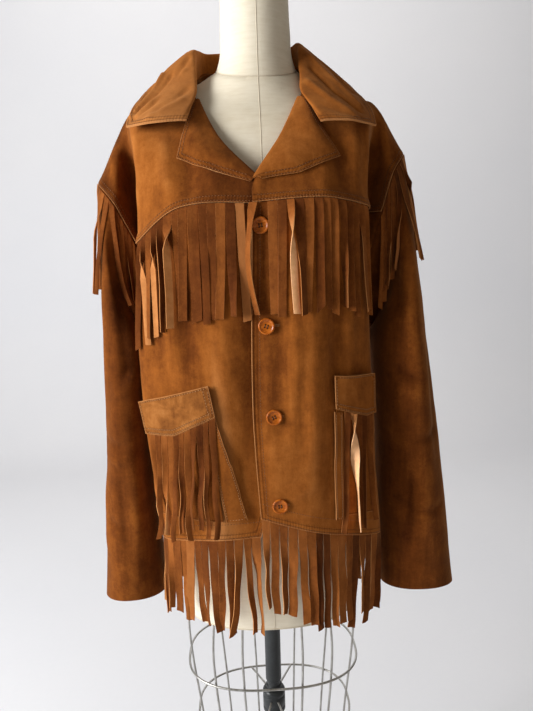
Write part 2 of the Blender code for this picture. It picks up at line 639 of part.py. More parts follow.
def make_pocket(side, table, tree):
    """A pocket: the bag, the border beside it, the band across its mouth and the strips below the band."""
    outermost = POCKET_OUTERMOST[side] * MM
    top = [blend(*table["band_top"], share) for share in BAG_TOP_SHARES]
    bag_corners = (*top, *table["bag_foot"][::-1])
    bag = laid_patch(tree, bag_corners, LAY_LIFT + BAG_LIFT, *POCKET_STEPS, outermost)
    wall(f"{side}_pocket_bag", Panel(bag, (0, -1, 0)), TRIM_WALL, "suede")

    border_lift = LAY_LIFT + BAG_LIFT + TRIM_WALL + 2 * SEAM_GAP
    border_corners = (*table["border_top"], *table["border_foot"][::-1])
    border = laid_patch(tree, border_corners, border_lift, POCKET_STEPS[0], 2, outermost)
    wall(f"{side}_pocket_border", Panel(border, (0, -1, 0)), TRIM_WALL, "suede_trim")

    low, point, high = table["band_foot"]
    share = abs(point[0] - low[0]) / abs(high[0] - low[0])
    top_a, top_b = table["band_top"]
    top_point = blend(top_a, top_b, share)
    band_lift = border_lift + TRIM_WALL + 2 * SEAM_GAP
    halves = [
        laid_patch(tree, corners, band_lift, 2, 4, outermost)
        for corners in ((top_a, top_point, point, low), (top_point, top_b, high, point))
    ]
    band = np.concatenate([halves[0], halves[1][:, 1:]], axis=1)
    wall(f"{side}_pocket_band", Panel(band, (0, -1, 0)), TRIM_WALL, "suede_trim")

    def push(point):
        clear = patch_point(tree, point[0], point[2], band_lift + FRINGE_LIFT, outermost)
        point[1] = min(point[1], clear[1])
        return point

    inner, outer = (x * MM for x in POCKET_FRINGE[side])
    tops = seam_points(band[-1], min(inner, outer), max(inner, outer), POCKET_STEPS[1])
    tops[:, 2] -= 2 * SEAM_GAP
    reaches = tops[:, 2] - POCKET_FRINGE_FOOT * MM
    hanging(f"{side}_pocket_fringe", [push(top) for top in tops], reaches, push)


# ------------------------------------------------------------------ fringes, each one plain slab of its reach
def hanging(name, tops, reaches, push=None, outward=(0, -1, 0)):
    """A row of strips that hangs straight down from its top points."""
    grid = []
    for v in range(FRINGE_ROWS + 1):
        line = []
        for top, reach in zip(tops, reaches):
            point = np.array(top, float)
            point[2] -= reach * v / FRINGE_ROWS
            line.append(push(point) if push and v else point)
        grid.append(line)
    wall(name, Panel(grid, outward), FRINGE_WALL, "suede")


def clear_of(tree, lift, facing=-1):
    """Keeps a hanging point in front of (or behind) the cloth that it falls past."""

    def push(point):
        start = Vector((point[0], facing * FAR_OUT, point[2]))
        place, normal, _, _ = tree.ray_cast(start, Vector((0, -facing, 0)))
        if place is not None:
            clear = lift / max(abs(normal.y), STEEPEST)
            point[1] = facing * max(facing * point[1], facing * place.y + clear)
        return point

    return push


def seam_points(line, low, high, count):
    """Points along a seam, evenly spaced between two places x."""
    order = np.argsort(line[:, 0])
    places = np.linspace(low, high, count + 1)
    return np.array([[x] + [np.interp(x, line[order, 0], line[order, axis]) for axis in (1, 2)] for x in places])


def down_column(sleeve, column, lift):
    """Points just off a sleeve, down one of its columns from the armhole to the fringe's foot."""
    line, normals = sleeve.grid[:, column], sleeve.normals[:, column]
    gone = np.concatenate([[0], np.cumsum(np.linalg.norm(np.diff(line, axis=0), axis=1))])
    points = []
    for distance in np.linspace(SLEEVE_FRINGE_START, FRINGE_LENGTH, FRINGE_ROWS + 2):
        place, normal = (np.array([np.interp(distance, gone, side[:, axis]) for axis in range(3)])
                         for side in (line, normals))
        points.append(place + normal * lift)
    return points


def make_fringes(skin, trees):
    lift = (SUEDE_WALL + FRINGE_WALL) / 2 + SEAM_GAP
    for side in ("right", "left"):
        low, high = (x * MM for x in CHEST_FRINGE[side])
        tops = seam_points(skin.whole[side].grid[skin.yoke_row], low, high, CHEST_FRINGE_STEPS)
        tops[:, 1] -= lift
        push = clear_of(trees[side], lift + FRINGE_LIFT)
        hanging(f"{side}_chest_fringe", [push(top) for top in tops], [FRINGE_LENGTH] * len(tops), push)

        sleeve = skin.whole[f"{side}_sleeve"]
        around = range(-SLEEVE_FRINGE_REACH, SLEEVE_FRINGE_REACH + 1)
        columns = [down_column(sleeve, k, lift + FRINGE_LIFT) for k in around]
        outward = ((1 if side == "left" else -1), 0, 0)
        wall(f"{side}_sleeve_fringe", Panel(np.swapaxes(columns, 0, 1), outward), FRINGE_WALL, "suede")

    line = skin.back[skin.yoke_row]
    tops = seam_points(line, line[0, 0] + BACK_FRINGE_INSET, line[-1, 0] - BACK_FRINGE_INSET, BACK_FRINGE_STEPS)
    tops[:, 1] += lift
    push = clear_of(trees["back"], lift + FRINGE_LIFT, 1)
    hanging("back_fringe", [push(top) for top in tops], [FRINGE_LENGTH] * len(tops), push, (0, 1, 0))

    for name, reach in HEM_FRINGE.items():
        hem = skin.whole[name].grid[-1] - np.array((0, 0, SEAM_GAP))
        outward = (0, 1, 0) if name == "back" else (0, -1, 0)
        hanging(f"{name}_hem_fringe", hem, [reach * MM] * len(hem), None, outward)


def make_button(name, x, z, tree):
    """A turned button with a raised rim, its back just off the cloth."""
    radius = BUTTON_DIAMETER / 2
    profile = [(radius * share, height) for share, height in BUTTON_PROFILE]
    bm = bmesh.new()
    verts = [bm.verts.new((r, 0, h)) for r, h in profile]
    edges = [bm.edges.new(pair) for pair in zip(verts[:-1], verts[1:])]
    bmesh.ops.spin(
        bm, geom=verts + edges, cent=(0, 0, 0), axis=(0, 0, 1), angle=math.tau, steps=BUTTON_STEPS, use_merge=True
    )
    bmesh.ops.remove_doubles(bm, verts=bm.verts, dist=SEAM_GAP / 30)
    middle = Vector(on_cloth(tree, x * MM, z * MM, 0.0))
    spots = []
    for k in range(BUTTON_SPOTS):
        turn = math.tau * k / BUTTON_SPOTS
        spots.append(on_cloth(tree, x * MM + radius * math.cos(turn), z * MM + radius * math.sin(turn), 0.0))
    right = Vector(spots[0] - spots[BUTTON_SPOTS // 2])
    up = Vector(spots[BUTTON_SPOTS // 4] - spots[-BUTTON_SPOTS // 4])
    normal = right.cross(up).normalized()
    if normal.y > 0:
        normal = -normal
    lift = max((Vector(s) - middle).dot(normal) for s in spots) + SUEDE_WALL / 2 + SEAM_GAP
    turn = normal.to_track_quat("Z", "Y").to_matrix().to_4x4()
    bmesh.ops.transform(bm, matrix=Matrix.Translation(middle + normal * lift) @ turn, verts=bm.verts)
    return add_object(name, bm, "button")


# ------------------------------------------------------------------ dress form and stand
def oval(height, half_width, front, back, squareness, front_slope=0.0, back_slope=0.0):
    """A closed section whose front and back have their own depth and slope."""
    ring = []
    for k in range(FORM_SIDES):
        turn = math.tau * k / FORM_SIDES
        c, s = math.cos(turn), math.sin(turn)
        x = half_width * math.copysign(abs(c) ** (2 / squareness), c)
        y = (back if s > 0 else front) * math.copysign(abs(s) ** (2 / squareness), s)
        slope = back_slope if s > 0 else front_slope
        ring.append(Vector((x, y, height + slope * y)) * MM)
    return ring


def loft(name, rings, material, closed=False):
    """A solid through closed rings, capped at both ends or joined into a hoop."""
    bm = bmesh.new()
    loops = [[bm.verts.new(p) for p in ring] for ring in rings]
    if closed:
        loops.append(loops[0])
    for low, high in zip(loops[:-1], loops[1:]):
        for k in range(len(low)):
            j = (k + 1) % len(low)
            bm.faces.new((low[k], low[j], high[j], high[k]))
    if not closed:
        for loop, ring in ((loops[0], rings[0]), (loops[-1], rings[-1])):
            middle = bm.verts.new(sum(ring, Vector()) / len(ring))
            for k in range(len(loop)):
                bm.faces.new((loop[k], loop[(k + 1) % len(loop)], middle))
    return add_object(name, bm, material)


def make_form():
    rows = [list(row) for row in TORSO]
    for row in rows[-SHOULDER_ROWS:]:
        row[0] += FORM_SEAT
    loft("form_torso", [oval(*row) for row in rows], "linen")
    neck = [oval(h + FORM_SEAT, w, front, back, 2, *slopes) for h, w, front, back, *slopes in NECK]
    loft("form_neck", neck, "linen")
    _, half_width, front, back, *_ = NECK[-1]
    cap = [oval(h + FORM_SEAT, half_width * s, front * s, back * s, 2) for h, s in NECK_CAP]
    loft("form_neck_cap", cap, "pole")


def turned(name, profile, sides, material):
    """A solid of revolution about Z from pairs of radius and height."""
    rings = []
    for radius, height in profile:
        turns = [math.tau * k / sides for k in range(sides)]
        rings.append([Vector((radius * math.cos(t), radius * math.sin(t), height)) * MM for t in turns])
    loft(name, rings, material)


def tube(name, points, diameter, closed=False, sides=6):
    """A round wire along a line of points."""
    points = [Vector(p) for p in points]
    count = len(points)
    rings = []
    for i, point in enumerate(points):
        before = points[i - 1] if (i or closed) else point
        after = points[(i + 1) % count] if (i < count - 1 or closed) else point
        along = (after - before).normalized()
        side = along.cross(Vector((0, 0, 1)) if abs(along.z) < 0.9 else Vector((0, 1, 0))).normalized()
        other = along.cross(side)
        turns = [math.tau * k / sides for k in range(sides)]
        rings.append([point + (side * math.cos(t) + other * math.sin(t)) * diameter / 2 for t in turns])
    loft(name, rings, "wire", closed)


def cage_turn(share, facing):
    """The turn about Z at which a share of the cage's half width stands, on its front (-1) or back (1)."""
    return facing * math.acos(math.copysign(abs(share) ** (CAGE_SQUARENESS / 2), share))


def cage_point(height, turn, outset=0.0):
    heights = [row[0] for row in CAGE[::-1]]
    reaches = [np.interp(height, heights, [row[axis] for row in CAGE[::-1]]) + outset for axis in (1, 2)]
    places = [math.copysign(abs(c) ** (2 / CAGE_SQUARENESS), c) for c in (math.cos(turn), math.sin(turn))]
    return Vector((reaches[0] * places[0], reaches[1] * places[1], height)) * MM


def make_cage():
    wires = [cage_turn(share, -1) for share in FRONT_WIRES] + [cage_turn(share, 1) for share in BACK_WIRES]
    wires += [0.0, math.pi]
    for index, turn in enumerate(sorted(wires)):
        tube(f"cage_wire_{index + 1:02d}", [cage_point(row[0], turn) for row in CAGE], CAGE_WIRE)

    # rings go round the outside of the wires, with a corner at each wire and each strut
    lower_half_width = next(row[1] for row in CAGE if row[0] == LOWER_RING)
    struts = [
        cage_turn(side * spread / lower_half_width, facing)
        for facing, spread in STRUT_SPREADS.items() for side in (-1, 1)
    ]
    stops = sorted(wires + struts)
    corners = []
    for start, stop in zip(stops, stops[1:] + [stops[0] + math.tau]):
        steps = math.ceil((stop - start) / RING_STEP)
        corners += [start + (stop - start) * k / steps for k in range(steps)]
    outset = (CAGE_WIRE + SEAM_GAP) / MM
    for name, height in (("upper", UPPER_RING), ("lower", LOWER_RING), ("foot", FOOT_RING)):
        tube(f"cage_ring_{name}", [cage_point(height, turn, outset) for turn in corners], CAGE_WIRE, True)

    for index, turn in enumerate(struts):
        far = cage_point(LOWER_RING, turn, outset)
        near = Vector((far.x, far.y, 0)).normalized() * (HUB[1][0] * MM)
        near.z = STRUT_HEIGHT * MM
        along = (far - near).normalized()
        touch = along * (CAGE_WIRE / 2 + STRUT_GAP)
        tube(f"strut_{index + 1}", [near + along * STRUT_GAP, far - touch], CAGE_WIRE)


def make_stand():
    turned("pole", POLE, POLE_SIDES, "pole")
    turned("pole_top", POLE_TOP, POLE_SIDES, "pole")
    turned("hub", HUB, POLE_SIDES, "pole")
    turned("base", BASE, BASE_SIDES, "pole")
    make_cage()


def main():
    clear_scene()
    skin = Skin()
    for side in ("right", "left"):
        wall(f"{side}_front_yoke", skin.part(side, True), SUEDE_WALL, "suede")
        wall(f"{side}_front", skin.part(side, False), SUEDE_WALL, "suede")
        wall(f"{side}_sleeve", skin.whole[f"{side}_sleeve"], SUEDE_WALL, "suede")
    wall("back_yoke", skin.part("back", True), SUEDE_WALL, "suede")
    wall("back", skin.part("back", False), SUEDE_WALL, "suede")
    trees = {name: finder([skin.whole[name].grid]) for name in ("right", "left", "back")}
    make_collar()
    make_lapel("right_lapel", RIGHT_LAPEL, trees["right"])
    make_lapel("left_lapel", LEFT_LAPEL, trees["left"])
    make_pocket("right", RIGHT_POCKET, trees["right"])
    make_pocket("left", LEFT_POCKET, trees["left"])
    make_fringes(skin, trees)
    for index, (x, z) in enumerate(BUTTON_PLACES):
        make_button(f"button_{index + 1}", x, z, trees["left"])
    make_form()
    make_stand()


main()
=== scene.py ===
# Fringed suede jacket on a dress form. Metres, +Z up, the front faces -Y. Left and right are the wearer's.
import math

import bmesh
import bpy
import numpy as np
from mathutils import Matrix, Vector, noise
from mathutils.bvhtree import BVHTree


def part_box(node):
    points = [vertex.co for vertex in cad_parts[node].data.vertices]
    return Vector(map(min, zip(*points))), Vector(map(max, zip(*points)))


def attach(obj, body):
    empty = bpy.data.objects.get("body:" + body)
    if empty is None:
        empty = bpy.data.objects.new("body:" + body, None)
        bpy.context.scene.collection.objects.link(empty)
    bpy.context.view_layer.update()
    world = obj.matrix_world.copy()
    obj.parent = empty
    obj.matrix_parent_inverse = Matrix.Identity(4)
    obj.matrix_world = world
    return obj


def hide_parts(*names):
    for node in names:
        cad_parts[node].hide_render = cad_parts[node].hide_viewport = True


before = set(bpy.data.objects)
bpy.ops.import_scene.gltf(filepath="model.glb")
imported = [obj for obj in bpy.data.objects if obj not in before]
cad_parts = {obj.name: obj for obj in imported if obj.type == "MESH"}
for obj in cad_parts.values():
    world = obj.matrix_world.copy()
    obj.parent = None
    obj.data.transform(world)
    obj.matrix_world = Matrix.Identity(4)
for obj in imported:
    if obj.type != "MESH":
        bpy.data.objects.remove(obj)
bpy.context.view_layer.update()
mm = 0.001
print("frame loaded,", len(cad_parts), "nodes")


# how the cloth is cut and worn, in metres
cloth = {
    "wall": 0.0020,
    "trimWall": 0.0018,
    "layLift": 0.0024,
    "bagLift": 0.0008,
    "gap": 0.00015,  # each edge stands this far back from its seam
    "seamDip": 0.0010,  # how deep a seam pulls the cloth in, and how wide
    "seamReach": 0.0035,
    "clearOfForm": 0.0014,
    "yokeLift": 0.0034,  # the yoke's lower edge stands proud of the fringe
    "yokeReach": 0.018,
    "capLift": 0.0019,  # and its armhole edge of the sleeve
    "capReach": 0.014,
    "far": 0.05,  # stands for no stitched edge nearby
}
# sections from the shoulder seam to the hem, in millimetres; columns from the front edge to the armhole
# or side seam
rightFront = (
    ((-90, 4, 1533), (-130, 3, 1515), (-172, 2, 1495), (-199, 0, 1475), (-242, 0, 1390)),
    ((-89, -56, 1500), (-132, -58, 1478), (-178, -56, 1463), (-199, -10, 1448), (-236, -20, 1381)),
    ((-62, -100, 1438), (-120, -95, 1432), (-173, -78, 1425), (-193, -6, 1412), (-224, -33, 1367)),
    ((2, -134, 1368), (-108, -118, 1386), (-171, -85, 1376), (-187, -6, 1368), (-209, -40, 1343)),
    ((10, -139, 1347), (-113, -128, 1343), (-175, -87, 1300), (-181, -12, 1300), (-190, -38, 1302)),
    ((11, -142, 1264), (-108, -132, 1257), (-180, -87, 1233), (-158, -30, 1235), (-173, -24, 1238)),
    ((12, -145, 1180), (-104, -136, 1172), (-185, -87, 1166), (-165, -35, 1167), (-152, 2, 1168)),
    ((10, -146, 1060), (-104, -138, 1056), (-183, -90, 1058), (-162, -36, 1058), (-150, 3, 1058)),
    ((6, -144, 975), (-102, -138, 972), (-177, -90, 970), (-161, -36, 969), (-151, 3, 968)),
    ((-18, -144, 871), (-94, -138, 867), (-166, -88, 851), (-163, -38, 846), (-155, 3, 842)),
)
leftFront = (
    ((67, 4, 1549), (108, 4, 1526), (152, 2, 1503), (185, 0, 1487), (223, 0, 1424)),
    ((64, -54, 1510), (108, -60, 1487), (155, -55, 1470), (181, -10, 1463), (214, -22, 1412)),
    ((33, -100, 1444), (98, -95, 1437), (149, -77, 1427), (174, -8, 1418), (202, -34, 1397)),
    ((-14, -138, 1373), (82, -121, 1388), (146, -84, 1375), (167, -10, 1370), (190, -44, 1370)),
    ((-16, -143, 1348), (84, -132, 1352), (147, -87, 1341), (161, -14, 1335), (180, -44, 1335)),
    ((-19, -146, 1264), (80, -136, 1262), (149, -87, 1254), (144, -32, 1252), (160, -27, 1256)),
    ((-22, -149, 1180), (76, -139, 1172), (151, -87, 1166), (140, -35, 1167), (134, 2, 1168)),
    ((-24, -150, 1060), (76, -140, 1056), (157, -88, 1058), (147, -36, 1058), (137, 3, 1058)),
    ((-22, -150, 985), (78, -139, 972), (161, -88, 962), (152, -36, 960), (143, 3, 958)),
    ((-18, -150, 902), (80, -138, 868), (170, -84, 838), (167, -38, 832), (160, 3, 830)),
)
# centre line, squareness, right and left seam, depth of the hollow behind the armholes
backRows = (
    ((-13, 62, 1550), 2.0, (-242, 0, 1390), (223, 0, 1424), 0),
    ((-13, 86, 1500), 2.1, (-237, 20, 1381), (215, 20, 1412), 5.6),
    ((-13, 100, 1440), 2.3, (-226, 36, 1366), (205, 36, 1397), 8.4),
    ((-12, 107, 1375), 2.5, (-212, 46, 1340), (194, 46, 1370), 11.2),
    ((-12, 110, 1305), 2.7, (-193, 46, 1300), (183, 46, 1335), 14),
    ((-11, 110, 1242), 2.75, (-175, 26, 1236), (161, 26, 1254), 0),
    ((-11, 109, 1180), 2.8, (-152, 2, 1168), (134, 2, 1168), 0),
    ((-9, 108, 1060), 2.8, (-150, 3, 1058), (137, 3, 1058), 0),
    ((-7, 111, 970), 2.8, (-151, 3, 968), (143, 3, 958), 0),
    ((0, 119, 857), 2.8, (-155, 3, 842), (160, 3, 830), 0),
)
backNeck = {-1: (-75, 43, 1551), 1: (55, 44, 1556)}
backTurns = (0, 20, 38, 54, 68, 80)  # degrees round a section: seam, valley, fold, chest, front, neck
backRise = (0, 4, 8, 12, 15, 12)
downKnots = (0, 62, 118, 190, 232, 310, 385, 500, 590, 700)
downSteps = (13, 12, 15, 9, 16, 15, 23, 18, 22)
roundShares = (0, 2, 4, 6, 7, 9, 10)  # how far round the armhole each section lies, in twentieths
acrossKnots = (0, 90, 165, 225, 265)
acrossSteps = (17, 15, 13, 9)
neckSpan, neckSteps = 38, 28
# sleeves: outer, inner, middle, half depth, height, tilt
sleeveRows = {
    "right": ((-247, -176, -4, 82, 1140, 0), (-257, -184, -9, 78, 962, 6), (-266, -183, -14, 70, 840, 10),
              (-276, -178, -18, 63, 727, 14)),
    "left": ((257, 170, -4, 80, 1140, 0), (281, 180, -9, 75, 962, 6), (296, 186, -14, 67, 840, 10),
             (310, 191, -18, 59, 716, 14)),
}
sleeveKnots = (0, 14, 150, 330, 450, 570)
sleeveSteps = (3, 26, 34, 22, 22)
sleeveCap = {"square": 0.9, "share": 0.08, "out": 0.014}  # how square a tube is, and how it leaves its seam


def curveWeights(knots, places):
    # how much each knot counts at each place along a smooth curve
    knots = np.asarray(knots, float)
    count, steps = len(knots), np.diff(knots)
    slopes = np.zeros((count, count))
    for i in range(count):
        if i == 0 or i == count - 1:
            j = max(i, 1)
            slopes[i, j], slopes[i, j - 1] = 1 / steps[j - 1], -1 / steps[j - 1]
        else:
            before, after = steps[i - 1], steps[i]
            slopes[i, i + 1] += before / after / (before + after)
            slopes[i, i] += (after / before - before / after) / (before + after)
            slopes[i, i - 1] -= after / before / (before + after)
    rows = []
    for place in places:
        i = max(min(int(np.searchsorted(knots, place, side="right")) - 1, count - 2), 0)
        h = steps[i]
        t = (place - knots[i]) / h
        row = np.zeros(count)
        row[i] += 2 * t**3 - 3 * t**2 + 1
        row[i + 1] += -2 * t**3 + 3 * t**2
        row += (t**3 - 2 * t**2 + t) * h * slopes[i] + (t**3 - t**2) * h * slopes[i + 1]
        rows.append(row)
    return np.array(rows)


def divided(knots, steps):
    places = []
    for low, high, count in zip(knots[:-1], knots[1:], steps):
        places += list(np.linspace(low, high, count, endpoint=False))
    return places + [knots[-1]]


def spaced(knots, steps, tight):
    # places along the knots, with closer ones beside each seam
    near = {knot + step for knot in tight for step in (-3.2, -1.5, 1.5, 3.2)}
    return sorted({*divided(knots, steps), *(place for place in near if 0 <= place <= knots[-1])})


def surface(net, downAt, downPlaces, acrossAt, acrossPlaces):
    down, across = curveWeights(downAt, downPlaces), curveWeights(acrossAt, acrossPlaces)
    return np.einsum("vr,uc,rcx->vux", down, across, np.asarray(net, float))


def unit(rows):
    return rows / np.maximum(np.linalg.norm(rows, axis=-1, keepdims=True), 1e-12)


def fade(way, reach):
    # rises softly from 0 to 1 over the reach
    t = np.clip(way / reach, 0, 1)
    return t * t * (3 - 2 * t)


def gone(line):
    # how far along the line each of its points is
    return np.concatenate([[0], np.cumsum(np.linalg.norm(np.diff(line, axis=0), axis=1))])


def between(place, places, rows):
    # the row at a place between the given ones
    return np.array([np.interp(place, places, rows[:, k]) for k in range(3)])


def gridNormals(grid, closed=False):
    down = np.gradient(grid, axis=0)
    around = (np.roll(grid, -1, axis=1) - np.roll(grid, 1, axis=1)) / 2
    return unit(np.cross(around if closed else np.gradient(grid, axis=1), down))


downPlaces = spaced(downKnots, downSteps, (0, 232, 700))
acrossPlaces = spaced(acrossKnots, acrossSteps, (0, 265))
yokeRow, underRow = downPlaces.index(232), downPlaces.index(385)


def frontGrid(rows):
    return surface(np.array(rows, float) * mm, downKnots, downPlaces, acrossKnots, acrossPlaces)


def backGrid(right, left):
    net = []
    for index, (centre, squareness, rightSeam, leftSeam, hollow) in enumerate(backRows):
        halves = []
        for side, seam, table in ((-1, rightSeam, rightFront), (1, leftSeam, leftFront)):
            half = []
            for column, angle in enumerate(backTurns):
                if index == 0:
                    half.append(table[0][4 - column] if column < 5 else backNeck[side])
                    continue
                out, back = (f(math.radians(angle)) ** (2 / squareness) for f in (math.cos, math.sin))
                x = centre[0] + (seam[0] - centre[0]) * out
                y = seam[1] + (centre[1] - seam[1]) * back - (hollow if column == 1 else 0)
                half.append((x, y, seam[2] + (centre[2] - seam[2]) * back))
            halves.append(half)
        net.append(halves[0] + [centre] + halves[1][::-1])
    rise = np.array([*backRise, backRise[-1], *backRise[::-1]])[:, None] * np.array((0, 0, 1))
    net.insert(1, (np.array(net[0]) + np.array(net[1])) / 2 + rise)
    spans = [*np.diff(acrossKnots)[::-1], neckSpan, neckSpan]
    knots = np.cumsum([0, *spans, *spans[::-1]])
    neck = list(np.linspace(acrossKnots[-1], knots[-1] - acrossKnots[-1], neckSteps + 1)[1:-1])
    places = [acrossKnots[-1] - p for p in acrossPlaces[::-1]] + neck
    places += [knots[-1] - acrossKnots[-1] + p for p in acrossPlaces]
    down = sorted({*downKnots, downKnots[1] / 2})
    grid = surface(np.array(net, float) * mm, down, downPlaces, knots, places)
    width, under = right.shape[1], underRow
    grid[0, :width], grid[0, -width:] = right[0][::-1], left[0]
    grid[under:, 0], grid[under:, -1] = right[under:, -1], left[under:, -1]
    return grid


def sleeveGrid(side, rows, front, backEdge):
    ring = np.array([*front[: underRow + 1, -1], *backEdge[1:underRow][::-1]])
    half = np.interp(downPlaces[: underRow + 1], downKnots[:7], roundShares) / 20
    shares = np.concatenate([half, 1 - half[1:-1][::-1]])
    nets = [ring]
    for outer, inner, middle, depth, height, tilt in rows:
        turn = 2 * math.pi * shares
        c, s = (np.sign(v) * np.abs(v) ** sleeveCap["square"] for v in (np.cos(turn), np.sin(turn)))
        x = (outer + inner) / 2 + side * abs(outer - inner) / 2 * c
        y = middle - depth * s
        nets.append(np.stack([x, y, height + tilt * (middle - y) / depth], axis=1) * mm)
    leaving = nets[0] + (nets[1] - nets[0]) * sleeveCap["share"]
    leaving[:, 0] += side * sleeveCap["out"] * (1 - np.cos(2 * math.pi * shares)) / 2
    nets.insert(1, leaving)
    down = curveWeights(sleeveKnots, spaced(sleeveKnots, sleeveSteps, (0, 570)))
    return np.einsum("vr,rux->vux", down, np.array(nets))


def makePanel(grid, way, closed=False):
    # a surface with its normals on the side of the given way
    normals = gridNormals(grid, closed)
    return {"grid": grid, "normals": -normals if (normals * way).sum() < 0 else normals, "closed": closed}


def roundPanel(grid):
    return makePanel(grid, grid - grid.mean(axis=1, keepdims=True), True)


def shareSeams(panels):
    # one normal where panels meet
    meeting = {}
    for panel in panels:
        rows, columns = panel["grid"].shape[:2]
        for v in range(rows):
            for u in range(columns):
                if v in (0, rows - 1) or (not panel["closed"] and u in (0, columns - 1)):
                    meeting.setdefault(tuple(np.round(panel["grid"][v, u], 6)), []).append((panel, v, u))
    for places in meeting.values():
        total = sum(panel["normals"][v, u] for panel, v, u in places)
        if np.linalg.norm(total) > 0.2:
            for panel, v, u in places:
                panel["normals"][v, u] = total / np.linalg.norm(total)


def quadTree(grids):
    points, faces = [], []
    for grid, closed in grids:
        rows, columns = grid.shape[:2]
        base = len(points)
        points += [Vector(p) for p in grid.reshape(-1, 3)]
        for v in range(rows - 1):
            for u in range(columns if closed else columns - 1):
                a, b = base + v * columns + u, base + v * columns + (u + 1) % columns
                faces.append((a, b, b + columns, a + columns))
    return BVHTree.FromPolygons(points, faces)


def onCloth(tree, x, z, lift, way=-1):
    # the point at x, z on the front (way -1) or the back (1), lifted off it
    place, normal, _, _ = tree.ray_cast(Vector((x, way * 0.6, z)), Vector((0, -way, 0)))
    if place is None:
        place, normal, _, _ = tree.find_nearest(Vector((x, way * 0.14, z)))
        place = Vector((x, place.y, z))
    if normal.y * way < 0:
        normal = -normal
    return np.array(place + normal * lift)


grids = {"right": frontGrid(rightFront), "left": frontGrid(leftFront)}
grids["back"] = backGrid(grids["right"], grids["left"])
toFront = np.array((0, -1, 0))
skin = {side: makePanel(grid, -toFront if side == "back" else toFront) for side, grid in grids.items()}
for side, way, column in (("right", -1, 0), ("left", 1, -1)):
    backEdge = grids["back"][:, column]
    skin[side + "Sleeve"] = roundPanel(sleeveGrid(way, sleeveRows[side], grids[side], backEdge))
shareSeams(skin.values())

